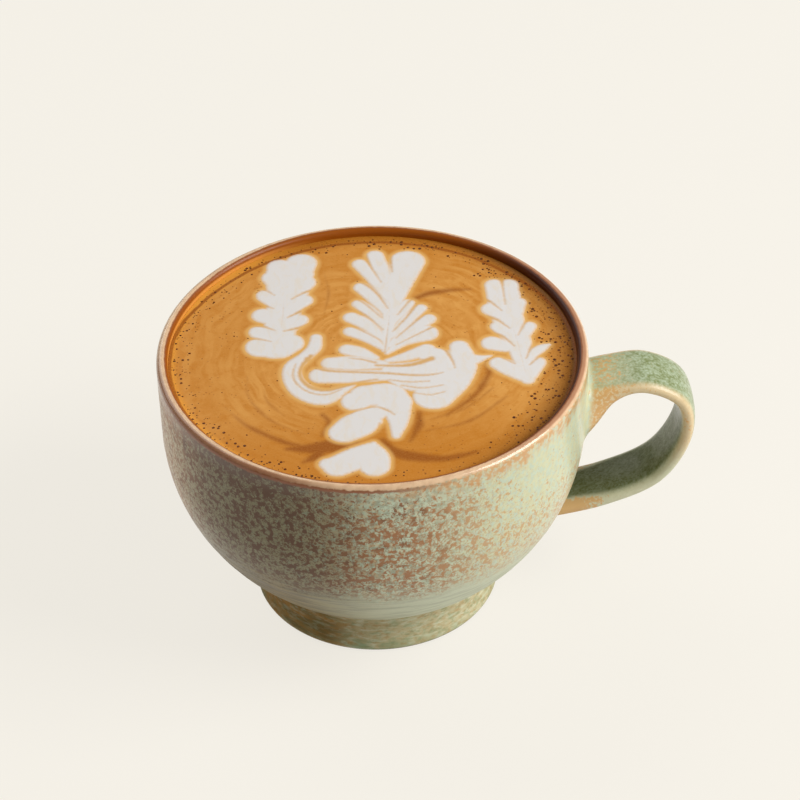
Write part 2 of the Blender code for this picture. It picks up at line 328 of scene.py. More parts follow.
def make_swirl_bands():
    shared, w, given, out = new_group(
        "swirl_bands",
        {"Place": ("Vector", None), "Along": ("Float", 1.5), "Across": ("Float", 0.5),
         "Wobble": ("Float", 3.0)},
        {"Bands": "Float"})
    flat = w.stretch(given["Place"], 1.0, 0.0)
    shift = w.times(w.minus(w.noise(given["Place"], 0.06), 0.5), given["Wobble"])
    outward = w.times(w.plus(w.length(flat), shift), given["Across"])
    arc = w.node("ShaderNodeVectorMath", {0: w.vector_maths("NORMALIZE", flat)}, operation="SCALE")
    w.put(arc.inputs["Scale"], given["Along"])
    lift = w.node("ShaderNodeCombineXYZ", {2: outward}).outputs[0]
    w.put(out["Bands"], w.noise(w.vector_maths("ADD", arc.outputs[0], lift), 1.0, 3.0, 0.55))
    return shared


def patches(w, place, scale=1.0, cover=0.5, softness=0.03):
    return w.group(RAGGED_PATCHES, Place=place, Scale=scale, Cover=cover, Softness=softness)["Mask"]


RAGGED_PATCHES = make_ragged_patches()
SWIRL_BANDS = make_swirl_bands()
print("shared groups:", [item.name for item in bpy.data.node_groups])

# %% [markdown]
# ## The floor
#
# A product picture has hardly any shadow. Most of the floor's tone is its own glow and only a small share is
# reflected light, so the cup's shadow stays a faint, soft patch.

# %% The floor that the cup stands on
FLOOR_HALF = 3.0
UNDER_FOOT = 0.0001
FLOOR_TONE = (0.120, 0.116, 0.107)
FLOOR_TONE_WARM = (0.124, 0.119, 0.109)
FLOOR_GLOW = (0.788, 0.759, 0.696)


def make_floor():
    shape = bmesh.new()
    bmesh.ops.create_grid(shape, x_segments=8, y_segments=8, size=FLOOR_HALF)
    mesh = bpy.data.meshes.new("floor")
    shape.to_mesh(mesh)
    shape.free()
    floor = bpy.data.objects.new("floor", mesh)
    floor.location.z = -UNDER_FOOT
    bpy.context.scene.collection.objects.link(floor)
    material, w, sockets = new_material("pale_floor", Roughness=0.9, Specular_IOR_Level=0.1,
                                        Emission_Color=(*FLOOR_GLOW, 1.0), Emission_Strength=1.0)
    clouds = patches(w, w.millimetres(), 0.02, 0.5, 0.3)
    w.put(sockets["Base Color"], w.mix(clouds, FLOOR_TONE, FLOOR_TONE_WARM))
    mesh.materials.append(material)


make_floor()

# %% [markdown]
# ## The cup's turned wall
#
# A turned pot is a section spun round its axis. The section is built from the same curves as the solid:
# a flared foot, one cubic curve for the bowl, a half-round lip and the hollow. Only the number of points is
# higher. Real throwing leaves faint rings and the fired pot is never quite round, so each ring is drawn in
# by a few hundredths of a millimetre of smooth noise. Blender's Screw modifier could spin the section, but
# plain arithmetic gives each point its own small shift.

# %% The section of the wall
BOWL_STEPS = 74
FOOT_STEPS = 12
LIP_STEPS = 16
HOLLOW_STEPS = 14
MOUTH_STEPS = 12
CORNER_STEPS = 5
TURN_STEPS = 480
RING_DEPTH = 0.00005
UNEVEN_DEPTH = 0.00008


def bezier(points, share):
    back = 1.0 - share
    weights = (back ** 3, 3 * back * back * share, 3 * back * share * share, share ** 3)
    return tuple(sum(w * p[axis] for w, p in zip(weights, points)) for axis in (0, 1))


def arc(centre, radius, first, last, steps):
    """Points round a corner, angles in degrees from straight out."""
    angles = [math.radians(first + (last - first) * step / steps) for step in range(steps + 1)]
    return [(centre[0] + radius * math.cos(a), centre[1] + radius * math.sin(a)) for a in angles]


def outside_points():
    points = []
    for step in range(FOOT_STEPS):
        share = step / FOOT_STEPS
        radius = FOOT_RADIUS + (WAIST_RADIUS - FOOT_RADIUS) * math.sin(share * math.pi / 2)
        points.append((radius, FOOT_EDGE + (WAIST_HEIGHT - FOOT_EDGE) * share))
    curve = ((WAIST_RADIUS, WAIST_HEIGHT), BOWL_SPREAD, (SIDE_RADIUS, BOWL_TURN_HEIGHT),
             (SIDE_RADIUS, UPRIGHT_FROM))
    points += [bezier(curve, step / BOWL_STEPS) for step in range(BOWL_STEPS)]
    lip_start = CUP_HEIGHT - LIP_THICKNESS / 2
    for step in range(MOUTH_STEPS):
        share = step / MOUTH_STEPS
        radius = SIDE_RADIUS + (RIM_RADIUS - SIDE_RADIUS) * share
        points.append((radius, UPRIGHT_FROM + (lip_start - UPRIGHT_FROM) * share))
    return points


def hollow_points():
    """From the lip's inner end down to the middle of the floor."""
    side = SIDE_RADIUS - SIDE_WALL
    mouth = RIM_RADIUS - LIP_THICKNESS
    lip_start = CUP_HEIGHT - LIP_THICKNESS / 2
    points = []
    for step in range(MOUTH_STEPS, 0, -1):
        share = step / MOUTH_STEPS
        height = UPRIGHT_FROM + (lip_start - UPRIGHT_FROM) * share
        points.append((side + (mouth - side) * share ** 2, height))
    curve = ((FLOOR_RADIUS, FLOOR_HEIGHT), FLOOR_SPREAD, (side, BOWL_TURN_HEIGHT), (side, UPRIGHT_FROM))
    points += [bezier(curve, step / HOLLOW_STEPS) for step in range(HOLLOW_STEPS, -1, -1)]
    return points + [(0.0, FLOOR_HEIGHT)]


def wall_section():
    lip = LIP_THICKNESS / 2
    points = [(0.0, RECESS_DEPTH), (RING_INNER_RADIUS * 0.5, RECESS_DEPTH)]
    points += arc((RING_INNER_RADIUS - RECESS_CORNER, RECESS_DEPTH - RECESS_CORNER), RECESS_CORNER,
                  90, 0, CORNER_STEPS)
    points += arc((RING_INNER_RADIUS + FOOT_EDGE, FOOT_EDGE / 2), FOOT_EDGE / 2, 180, 270, CORNER_STEPS)
    points += arc((FOOT_RADIUS - FOOT_EDGE, FOOT_EDGE), FOOT_EDGE, -90, 0, CORNER_STEPS)[:-1]
    points += outside_points()
    points += arc((RIM_RADIUS - lip, CUP_HEIGHT - lip), lip, 0, 180, LIP_STEPS)
    points += hollow_points()[1:]
    return points


def ripple(angle, height):
    """How far the clay is drawn in, in metres: throwing rings and a slightly uneven turn."""
    rings = 0.5 + 0.5 * np.sin(height * 2100.0 + 1.3 * np.sin(angle) + 2.0 * np.sin(height * 333.0))
    uneven = 0.5 + 0.5 * np.sin(2.0 * angle + 0.7 + height * 40.0)
    return RING_DEPTH * rings + UNEVEN_DEPTH * uneven


def ring_faces(low, high, sides):
    """Faces between two rings of points, each given by the number of its first point."""
    return [(low + side, low + (side + 1) % sides, high + (side + 1) % sides, high + side)
            for side in range(sides)]


def fan_faces(ring, sides, tip):
    return [(ring + side, ring + (side + 1) % sides, tip) for side in range(sides)]


def turned_wall(section):
    """Spin a section that starts and ends on the axis: its points and faces."""
    angle = np.arange(TURN_STEPS) * 2 * math.pi / TURN_STEPS
    points = [(0.0, 0.0, section[0][1])]
    for radius, height in section[1:-1]:
        spread = radius - (ripple(angle, height) if height > FOOT_EDGE else 0.0)
        points += zip(spread * np.cos(angle), spread * np.sin(angle), np.full(TURN_STEPS, height))
    points.append((0.0, 0.0, section[-1][1]))
    starts = [1 + ring * TURN_STEPS for ring in range(len(section) - 2)]
    faces = fan_faces(starts[0], TURN_STEPS, 0)
    for low, high in zip(starts, starts[1:]):
        faces += ring_faces(low, high, TURN_STEPS)
    return points, faces + fan_faces(starts[-1], TURN_STEPS, len(points) - 1)


def new_mesh(name, points, faces, **values):
    """A mesh that carries one number per point for each named value."""
    mesh = bpy.data.meshes.new(name)
    mesh.from_pydata(points, [], faces)
    for title, numbers in values.items():
        layer = mesh.attributes.new(title, "FLOAT", "POINT")
        layer.data.foreach_set("value", numbers.astype(np.float32))
    return mesh


def triangles(piece):
    return sum(len(face.vertices) - 2 for face in piece.data.polygons)


def add_piece(name, mesh):
    piece = bpy.data.objects.new(name, mesh)
    piece.location.x = AXIS_X
    bpy.context.scene.collection.objects.link(piece)
    return piece


print("wall section:", len(wall_section()), "points")

# %% [markdown]
# ## The handle
#
# A pulled handle is a strap of clay bent to an ear, wide and flat in the middle and thick where it grips the
# wall. It is lofted: a rounded-off rectangle is carried along a smooth curve through a few given points,
# and it widens towards both roots. The solid was lofted the same way with fewer rings.

# %% The strap's path and its rings
HANDLE_TOP_HEIGHT = 0.0509
HANDLE_LOOP = ((0.0548, 0.0568), (0.0633, 0.0586), (0.0720, 0.0534), (0.0730, 0.0429), (0.0668, 0.0314),
               (0.0543, 0.0249), (0.0401, 0.0214))
HANDLE_END_HEIGHT = 0.0190
# Half width and half thickness of the strap, and of its two roots
STRAP_HALF = (0.0074, 0.0020)
TOP_ROOT = (0.0098, 0.0085)
END_ROOT = (0.0061, 0.0039)
ROOT_SHARE = 0.22
STRAP_SQUARENESS = 2.6
STRAP_STEPS = 150
STRAP_SIDES = 48
TANGENT_STEP = 0.005


def outside_at(height):
    """Radius of the bowl's outside at a height, and the wall's upward direction there."""
    points = outside_points()
    for (r0, z0), (r1, z1) in zip(points, points[1:]):
        if z0 <= height <= z1:
            share = (height - z0) / (z1 - z0)
            return r0 + (r1 - r0) * share, Vector((r1 - r0, z1 - z0)).normalized()


def middle_of_wall(height):
    radius, along = outside_at(height)
    return Vector((radius, height)) + Vector((-along.y, along.x)) * SIDE_WALL / 2, along


def smooth_path(points, share):
    """Point at a share of the way along a smooth curve through the given points."""
    spans = len(points) - 1
    index = min(int(share * spans), spans - 1)
    local = share * spans - index
    ends = [points[0] * 2 - points[1], *points, points[-1] * 2 - points[-2]]
    before, start, end, after = ends[index:index + 4]
    return 0.5 * (2 * start + (end - before) * local
                  + (2 * before - 5 * start + 4 * end - after) * local ** 2
                  + (3 * start - before - 3 * end + after) * local ** 3)


def handle_ring(share, path, top_along, end_along):
    centre = smooth_path(path, share)
    ahead = (smooth_path(path, min(1.0, share + TANGENT_STEP))
             - smooth_path(path, max(0.0, share - TANGENT_STEP)))
    across = Vector((-ahead.y, ahead.x)).normalized()
    top = max(0.0, 1.0 - share / ROOT_SHARE) ** 2
    end = max(0.0, 1.0 - (1.0 - share) / ROOT_SHARE) ** 2
    across = (across * (1 - top - end) + top_along * top - end_along * end).normalized()
    half_width, half_thickness = (strap + (wide - strap) * top + (narrow - strap) * end
                                  for strap, wide, narrow in zip(STRAP_HALF, TOP_ROOT, END_ROOT))
    ring = []
    for side in range(STRAP_SIDES):
        angle = 2 * math.pi * side / STRAP_SIDES
        wide, thick = (math.copysign(abs(part) ** (2 / STRAP_SQUARENESS), part)
                       for part in (math.cos(angle), math.sin(angle)))
        spot = centre + across * half_thickness * thick
        ring.append((spot.x, half_width * wide, spot.y))
    return ring


def strap_lines():
    """Points in rows along the strap, one column for each of its long lines."""
    top, top_along = middle_of_wall(HANDLE_TOP_HEIGHT)
    end, end_along = middle_of_wall(HANDLE_END_HEIGHT)
    path = [top, *(Vector(point) for point in HANDLE_LOOP), end]
    return np.array([handle_ring(step / STRAP_STEPS, path, top_along, end_along)
                     for step in range(STRAP_STEPS + 1)])


STRAP_LINES = strap_lines()
print("strap:", STRAP_LINES.shape[0], "rings of", STRAP_LINES.shape[1])

# %% [markdown]
# ## Joining the handle to the wall
#
# The potter presses the strap on and smooths slip round it, so a small fillet runs round each root. A
# Boolean union leaves a hard crease and long thin faces there. Here each of the strap's long lines is cut
# where it is one fillet's size above the wall, and carried on by a quadratic curve that lands flat on the
# wall and dips under it. The wall's section is known, so the height above it is plain arithmetic.

# %% Fillets at both roots
FILLET = 0.0017
FILLET_STEPS = 6
SUNK = 0.0003
ROOT_REACH = 0.02
FAR_OFF = 20.0
OUTSIDE = np.array(outside_points())
WALL_TILT = np.gradient(OUTSIDE[:, 0], OUTSIDE[:, 1])


def wall_radius(points):
    turn = np.arctan2(points[..., 1], points[..., 0])
    return np.interp(points[..., 2], OUTSIDE[:, 1], OUTSIDE[:, 0]) - ripple(turn, points[..., 2])


def above_wall(points):
    """How far points are outside the wall, measured square to its slope."""
    tilt = np.interp(points[..., 2], OUTSIDE[:, 1], WALL_TILT)
    return (np.hypot(points[..., 0], points[..., 1]) - wall_radius(points)) / np.sqrt(1.0 + tilt ** 2)


def on_wall(points, sunk=0.0):
    """The same points moved in or out until they lie on the wall, or sunk below its surface."""
    scale = (wall_radius(points) - sunk) / np.hypot(points[..., 0], points[..., 1])
    return points * np.stack([scale, scale, np.ones_like(scale)], axis=-1)


def rows_off_wall(lines, level):
    """For each line, which runs out from its root: the row at which it is so far above the wall."""
    height = above_wall(lines)
    past = np.maximum(1, np.argmax(height > level, axis=0))
    columns = np.arange(lines.shape[1])
    before, after = height[past - 1, columns], height[past, columns]
    return past - 1 + (level - before) / (after - before)


def at_rows(lines, rows):
    low = np.clip(np.floor(rows).astype(int), 0, len(lines) - 2)
    share = (rows - low)[:, None]
    columns = np.arange(lines.shape[1])
    return lines[low, columns] * (1 - share) + lines[low + 1, columns] * share


def root_rings(lines):
    """Rings from under the wall out to the strap, for the root at the lines' first row."""
    crease = at_rows(lines, rows_off_wall(lines, 0.0))
    strap_end = at_rows(lines, rows_off_wall(lines, FILLET))
    tilt = np.interp(crease[:, 2], OUTSIDE[:, 1], WALL_TILT)
    square = np.column_stack([crease[:, 0], crease[:, 1], -tilt * np.hypot(crease[:, 0], crease[:, 1])])
    away = np.cross(np.roll(crease, -1, axis=0) - np.roll(crease, 1, axis=0), square)
    away /= np.linalg.norm(away, axis=1)[:, None]
    away *= np.sign(np.sum(away * (crease - crease.mean(axis=0)), axis=1))[:, None]
    landing = on_wall(crease + away * FILLET)
    rings = [on_wall(crease + away * (FILLET + 2 * SUNK), SUNK)]
    for step in range(FILLET_STEPS + 1):
        share = step / FILLET_STEPS
        rings.append(landing * (1 - share) ** 2 + crease * 2 * share * (1 - share)
                     + strap_end * share ** 2)
    return rings


def handle_rings():
    lines = STRAP_LINES
    first = rows_off_wall(lines, FILLET)
    last = len(lines) - 1 - rows_off_wall(lines[::-1], FILLET)
    steps = range(1, STRAP_STEPS)
    middle = [at_rows(lines, first + (last - first) * step / STRAP_STEPS) for step in steps]
    return np.array(root_rings(lines) + middle + root_rings(lines[::-1])[::-1])


def add_handle(points, faces, rings):
    """Append the strap's points and faces, with both ends closed inside the wall."""
    count, sides = rings.shape[:2]
    starts = [len(points) + ring * sides for ring in range(count)]
    points += rings.reshape(-1, 3).tolist()
    for low, high in zip(starts, starts[1:]):
        faces += ring_faces(low, high, sides)
    for ring in (0, count - 1):
        points.append(tuple(on_wall(rings[ring].mean(axis=0)[None, :], SIDE_WALL / 2)[0]))
        faces += fan_faces(starts[ring], sides, len(points) - 1)


def finish_values(places, wall_count, rings):
    """For the finish: mm off the wall and off the strap, and the strap's side (1 outer, -1 inner)."""
    off_wall, side = np.zeros(len(places)), np.zeros(len(places))
    off_wall[wall_count:] = np.clip(above_wall(places[wall_count:]), 0.0, None) / MM
    off_strap = np.where(np.arange(len(places)) < wall_count, FAR_OFF, 0.0)
    roots = np.concatenate([rings[1], rings[-2]])
    wall = places[:wall_count]
    near = np.nonzero((wall[:, 0] > RIM_RADIUS / 3) & (np.abs(wall[:, 1]) < ROOT_REACH))[0]
    off_strap[near] = np.linalg.norm(wall[near][:, None, :] - roots, axis=2).min(axis=1) / MM
    around = np.sin(2 * math.pi * np.arange(STRAP_SIDES) / STRAP_SIDES)
    side[wall_count:wall_count + rings.shape[0] * STRAP_SIDES] = np.tile(around, rings.shape[0])
    return {"off_wall": off_wall, "off_strap": off_strap, "strap_side": side}


def cup_mesh():
    points, faces = turned_wall(wall_section())
    wall_count = len(points)
    rings = handle_rings()
    add_handle(points, faces, rings)
    mesh = new_mesh("cup_body", points, faces, **finish_values(np.array(points), wall_count, rings))
    shape = bmesh.new()
    shape.from_mesh(mesh)
    bmesh.ops.recalc_face_normals(shape, faces=shape.faces[:])
    shape.to_mesh(mesh)
    shape.free()
    mesh.shade_smooth()
    return mesh


cup = add_piece("cup_body", cup_mesh())
print("cup:", triangles(cup), "triangles")

# %% [markdown]
# ## The reactive glaze
#
# Two glazes run into each other in the kiln: a grey-green mint and a rust-brown that breaks through in
# small ragged patches. Gravity sorts them by height, and by side the rust thins towards the handle. The
# front left is also painted darker as shade, and the side towards the lamp paler as painted light. Painting
# this on an image would tie it to one mesh, so it is worked out from height, turn and noise. The tones come
# first, as a screen shows them.

# %% Tones of the glaze
MINT = linear(190, 204, 180)
GREY_GREEN = linear(156, 164, 142)
BEIGE = linear(206, 168, 118)
PALE_MINT = linear(198, 198, 162)
PALE_BLUE = linear(184, 200, 182)
# SHADE_GREEN and SHADE_RUST are painted shade tones for the front left
SHADE_GREEN = linear(100, 100, 70)
RUST = linear(158, 104, 62)
DARK_RUST = linear(116, 70, 38)
SHADE_RUST = linear(80, 42, 16)
OCHRE = linear(196, 146, 90)
# OLIVE and OLIVE_LIGHT are kept dark, partly as painted shade on the lower bowl
OLIVE = linear(80, 64, 28)
OLIVE_LIGHT = linear(120, 102, 56)
FOOT_BROWN = linear(160, 120, 58)
FOOT_PALE = linear(200, 207, 182)
FOOT_TAN = linear(186, 174, 136)
FOOT_GREEN = linear(120, 140, 104)
FOOT_LINE = linear(58, 44, 32)
LIP_CREAM = linear(224, 190, 154)
LIP_PINK = linear(172, 118, 86)
BREAK_BROWN = linear(142, 82, 44)
INNER_BROWN = linear(150, 78, 10)
# INNER_GOLD is painted light and INNER_DARK painted shade on the mouth's inner wall
INNER_GOLD = linear(222, 152, 70)
INNER_DARK = linear(72, 26, 0)
STRAP_GREEN = linear(118, 128, 78)
STRAP_DARK = linear(74, 80, 26)
STRAP_EDGE = linear(226, 200, 160)
STRAP_PALE = linear(214, 212, 184)
STRAP_OCHRE = linear(210, 156, 88)


# %% [markdown]
# ### Where a point lies
#
# The layers of the glaze ask the same few things: how high a point is, how far it looks towards the handle,
# and whether it is on the left, in the front left where shade is painted in, or on the side towards the lamp
# where light is painted in. These masks are made once and handed to every layer. The level is the height
# with a slow wander, so that no zone ends in a straight line.

# %% Masks for the places on the cup


def facing(w, place, towards_x, towards_y):
    """How far a place on the wall looks in a compass direction: 1 towards it, -1 away."""
    flat = w.vector_maths("NORMALIZE", w.stretch(place, 1.0, 0.0))
    made = w.node("ShaderNodeVectorMath", {0: flat, 1: (towards_x, towards_y, 0.0)},
                  operation="DOT_PRODUCT")
    return made.outputs["Value"]


def places_on_cup(w):
    at = SimpleNamespace(place=w.millimetres())
    at.x, at.y, at.height = w.axes(at.place)[0:3]
    at.near_handle = facing(w, at.place, 0.94, -0.34)
    at.calm = w.between(at.near_handle, 0.42, 0.85)
    at.leftward = w.between(facing(w, at.place, -0.90, -0.44), 0.35, 0.95)
    # in_shade: the front left, where the glaze is painted darker as shade; lit: the lamp's side, painted
    # paler as light
    at.in_shade = w.between(facing(w, at.place, -0.56, -0.83), 0.80, 1.0)
    at.lit = w.between(facing(w, at.place, 0.80, -0.60), 0.08, 0.90)
    at.wander = w.minus(w.noise(at.place, 0.09), 0.5)
    at.level = w.plus(at.height, w.times(at.wander, 9.0), w.times(at.leftward, -3.0))
    return at


# %% [markdown]
# ### The mottled side
#
# The rust covers nearly half of the side, in coarse patches with finer ones between. It thins out low down
# and on the handle's side, where it fades to ochre on a pale ground. Towards the left the ground is more
# beige, partly the glaze's own tone and partly painted light on the left flank. On the front left the ground
# and the rust are painted darker as shade.

# %% Rust on mint


def rust_mask(w, at):
    upper = w.times(w.between(at.near_handle, 0.70, 0.95), w.between(at.height, 42.0, 54.0), -0.10)
    by_rim = w.times(w.between(at.height, 58.0, 65.0), w.between(at.leftward, 0.0, 1.0, -0.07, 0.06))
    low_down = w.between(at.level, 33.0, 24.0, 0.0, -0.22)
    cover = w.plus(0.475, w.times(at.wander, 0.10), w.times(at.calm, -0.015), upper, by_rim, low_down)
    fine = patches(w, at.place, 1.9, cover, 0.05)
    return w.maths("MAXIMUM", patches(w, at.place, 0.75, cover), w.times(fine, 0.7))


def mottled_colour(w, at, rust):
    ground = w.mix(w.between(w.noise(at.place, 0.7, 3.0), 0.38, 0.60), GREY_GREEN, MINT)
    # more beige towards the left: partly the glaze's own tone, partly painted light on the left flank
    beige = patches(w, at.place, 0.9, w.plus(0.42, w.times(at.leftward, 0.24)), 0.12)
    ground = w.paint(ground, BEIGE, beige, 0.6)
    pale = w.mix(w.between(w.noise(at.place, 0.9, 3.0), 0.45, 0.60), PALE_MINT, PALE_BLUE)
    ground = w.paint(ground, pale, at.calm, 0.85)
    # painted shade: darker ground on the front left
    ground = w.paint(ground, SHADE_GREEN, at.in_shade, 0.80)
    spots = w.mix(w.between(w.noise(at.place, 0.25), 0.25, 0.50), DARK_RUST, RUST)
    # painted shade: darker rust on the front left
    spots = w.paint(spots, SHADE_RUST, at.in_shade, 0.95)
    spots = w.paint(spots, OCHRE, at.calm, 0.85)
    return w.paint(ground, spots, rust, w.between(at.calm, 0.0, 1.0, 0.92, 0.72))


# %% [markdown]
# ### The lower bowl and the foot
#
# The lower bowl turns olive, with level streaks from the potter's fingers. The foot is flecked with brown,
# green and pale glaze, has a thicker green roll near its edge, and ends in a dark line at its bottom edge.
# On the side towards the lamp the bowl, the waist and the foot are painted paler as light; away from it the
# lower bowl is painted darker as shade. On the handle's side, ochre trickles down from the rim.

# %% Streaks, flecks and drips
# Each kind of fleck: how it is stretched round the foot and up it, and its tone
FLECKS = ((0.45, 1.3, FOOT_BROWN), (0.5, 1.1, FOOT_GREEN), (0.3, 1.6, FOOT_PALE))


def low_colour(w, at, colour):
    height, lit = at.height, at.lit
    streaks = w.noise(w.stretch(at.place, 0.10, 1.1), 1.0, 4.0, 0.6)
    # olive streaks: the glaze's own tone, painted paler as light on the lamp's side
    olive = w.mix(w.between(streaks, 0.38, 0.60), OLIVE, OLIVE_LIGHT)
    olive = w.paint(olive, FOOT_PALE, lit, w.between(streaks, 0.35, 0.60, 0.70, 0.90))
    colour = w.paint(colour, olive, w.between(at.level, 38.0, 26.0, 0.0, 0.95))
    # painted shade: the belly above the waist is darker away from the lamp
    colour = w.paint(colour, OLIVE_LIGHT, w.between(height, 23.0, 13.0, 0.0, 0.45),
                     w.between(lit, 1.0, 0.3, 0.3, 1.0))
    # brown below the belly, more of it away from the lamp: partly the glaze's own brown, partly painted
    # shade
    colour = w.paint(colour, FOOT_BROWN, w.between(streaks, 0.40, 0.58, 1.0, 0.1),
                     w.between(lit, 0.8, 0.1, 0.15, 0.9), w.between(height, 17.0, 7.0))
    # painted light: the waist is paler tan on the lamp's side
    colour = w.paint(colour, FOOT_TAN, w.between(height, 10.0, 7.0, 0.0, 0.75), w.between(lit, 0.0, 0.4))
    # painted light: fewer flecks on the lamp's side
    on_foot = w.times(w.between(height, 15.0, 8.0, 0.0, 0.5), w.between(lit, 0.0, 0.3, 0.55, 1.0))
    for across, up, tone in FLECKS:
        flecks = patches(w, w.stretch(at.place, across, up), 1.0, 0.44, 0.10)
        colour = w.paint(colour, tone, flecks, on_foot)
    # painted light: the green roll thins on the lamp's side
    roll = w.noise(w.stretch(at.place, 0.14, 0.6), 1.0, 3.0)
    colour = w.paint(colour, FOOT_GREEN, w.between(roll, 0.40, 0.60), w.between(height, 3.4, 1.6),
                     w.between(lit, 0.7, 1.0, 0.75, 0.25), w.between(at.leftward, 0.2, 0.8, 1.0, 0.25))
    return w.paint(colour, FOOT_LINE, w.between(height, 0.8, 0.4))


def drip_colour(w, at, colour):
    drips = w.noise(w.stretch(at.place, 0.42, 0.12), 1.0, 3.0, 0.6)
    reach = w.plus(at.height, w.times(w.minus(drips, 0.5), 11.0))
    return w.paint(colour, OCHRE, w.between(reach, 62.5, 66.5), w.between(at.near_handle, 0.2, 0.7),
                   w.between(w.noise(at.place, 0.8, 3.0), 0.40, 0.56, 0.2, 0.9))


# %% [markdown]
# ### The handle and the lip
#
# The strap is greener than the bowl and darkest on its inner face, partly glaze pooled there and partly
# painted shade, with pale edges where the glaze ran thin and ochre at its roots. Round each root a pale
# streak on the wall is partly pooled glaze and partly a painted highlight. The mesh says how far each point
# is from the wall and from the strap, so the finish finds the roots by itself. The lip shows thin, creamy
# glaze with a brown line under it. The glaze inside the mouth is brown, painted dark as shade on the
# handle's side and painted gold as light at the far left, where it faces the lamp.

# %% Handle and lip


def handle_colour(w, at, colour):
    off_wall, off_strap, side = (w.attribute(name) for name in ("off_wall", "off_strap", "strap_side"))
    by_root = w.between(off_wall, 13.0, 4.0)
    lower = w.between(at.height, 44.0, 34.0)
    dapple = w.between(w.noise(at.place, 1.7, 3.0), 0.35, 0.65)
    share = w.plus(w.times(patches(w, at.place, 0.7, 0.50, 0.16), 0.40), w.times(dapple, 0.35))
    strap = w.paint(w.mix(share, STRAP_GREEN, MINT), PALE_MINT, by_root, 0.5)
    # the inner face is darker: partly pooled glaze, partly painted shade
    inner = w.between(side, -0.45, -0.85)
    strap = w.paint(strap, w.mix(w.times(share, 0.5), STRAP_DARK, GREY_GREEN), inner, 0.92)
    low_root = w.times(by_root, lower)
    edge = w.between(w.plus(w.maths("ABSOLUTE", at.y), w.times(low_root, 1.6)), 5.2, 7.2)
    strap = w.paint(strap, w.mix(lower, STRAP_EDGE, STRAP_PALE), edge, 0.8)
    cover = w.plus(0.30, w.times(by_root, w.between(inner, 0.0, 1.0, 0.16, 0.0)),
                   w.times(edge, low_root, 0.26), w.times(w.minus(edge, lower), 0.08))
    strap = w.paint(strap, STRAP_OCHRE, patches(w, at.place, 1.2, cover, 0.07), 0.75)
    colour = w.paint(colour, strap, w.between(off_wall, 0.4, 2.2))
    # a pale streak on the wall round each root: partly pooled glaze, partly a painted highlight
    return w.paint(colour, PALE_MINT, w.between(off_wall, 0.8, 0.1), w.between(off_strap, 2.2, 0.2), 0.6)


def lip_colour(w, at, colour):
    """The colour with lip and mouth, and the mask of the mouth's inside."""
    radius = w.length(w.stretch(at.place, 1.0, 0.0))
    ragged = w.minus(w.noise(at.place, 0.8, 3.0), 0.5)
    level = w.plus(at.height, ragged)
    under_lip = CUP_HEIGHT / MM - 0.9
    colour = w.paint(colour, BREAK_BROWN, w.between(level, under_lip - 0.8, under_lip - 0.3),
                     w.between(level, under_lip + 0.5, under_lip + 0.1),
                     w.between(at.near_handle, 0.75, 0.25))
    rightward = w.between(at.x, 18.0, 42.0)
    mottle = w.between(w.noise(at.place, 0.5, 3.0), 0.40, 0.65, 0.0, 0.18)
    cream = w.mix(mottle, LIP_CREAM, BREAK_BROWN)
    cream = w.paint(cream, LIP_PINK, rightward, w.between(radius, 49.5, 49.1), 0.85)
    left_front = w.between(facing(w, at.place, -0.80, -0.60), 0.70, 0.93)
    cream = w.paint(cream, BREAK_BROWN, left_front, w.between(radius, 48.6, 49.3), 0.8)
    colour = w.paint(colour, cream, w.between(level, under_lip, under_lip + 0.4))

    lip_inside = (RIM_RADIUS - LIP_THICKNESS) / MM
    widen = w.times(w.between(at.y, -40.0, 40.0, 0.45, 0.6), w.between(at.x, -40.0, -8.0, 0.2, 1.0))
    spot = w.minus(w.minus(radius, widen), w.times(ragged, 0.3))
    # painted light: the inner wall at the far left, facing the lamp, is painted gold; on the handle's side
    # it is painted dark as shade
    lit_far_left = w.times(w.between(at.x, -8.0, -34.0), w.between(at.height, 67.4, 66.8))
    tone = w.mix(rightward, w.mix(lit_far_left, INNER_BROWN, INNER_GOLD), INNER_DARK)
    tone = w.mix(w.between(spot, lip_inside + 0.1, lip_inside + 0.4), tone, BREAK_BROWN)
    inside = w.times(w.between(spot, lip_inside + 0.75, lip_inside + 0.4),
                     w.between(at.height, 52.0, 56.0))
    return w.mix(inside, colour, tone), inside


# %% [markdown]
# ### The finished glaze
#
# A coat gives the wet look, most of it near the lip and none inside the mouth, and the lower bowl is
# duller. Rust lies a little deeper than mint, so the same mask also drives a very shallow bump.

# %% The glaze material
GLAZE_RELIEF = 0.05 * MM


def make_glaze():
    material, w, sockets = new_material("reactive_glaze", Specular_IOR_Level=0.22, Coat_Roughness=0.08)
    at = places_on_cup(w)
    rust = rust_mask(w, at)
    colour = low_colour(w, at, mottled_colour(w, at, rust))
    colour = handle_colour(w, at, drip_colour(w, at, colour))
    colour, inside = lip_colour(w, at, colour)
    w.put(sockets["Base Color"], colour)
    shine = w.plus(w.between(at.height, 22.0, 40.0, 0.0, 0.2),
                   w.between(at.height, 62.0, 67.0, 0.0, 0.55))
    w.put(sockets["Coat Weight"], w.times(w.minus(1.0, inside), shine))
    grain = w.noise(at.place, 2.2, 3.0)
    low_down = w.between(at.height, 36.0, 20.0, 0.0, 0.25)
    w.put(sockets["Roughness"], w.plus(w.times(rust, 0.10), w.times(grain, 0.10), low_down, 0.26))
    relief = w.plus(w.times(rust, -0.5), w.times(grain, 0.4))
    w.put(sockets["Normal"], w.bump(relief, 0.35, GLAZE_RELIEF))
    print("glaze:", len(material.node_tree.nodes), "nodes")
    return material


cup.data.materials.append(make_glaze())
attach(cup, "root")
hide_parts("cup")

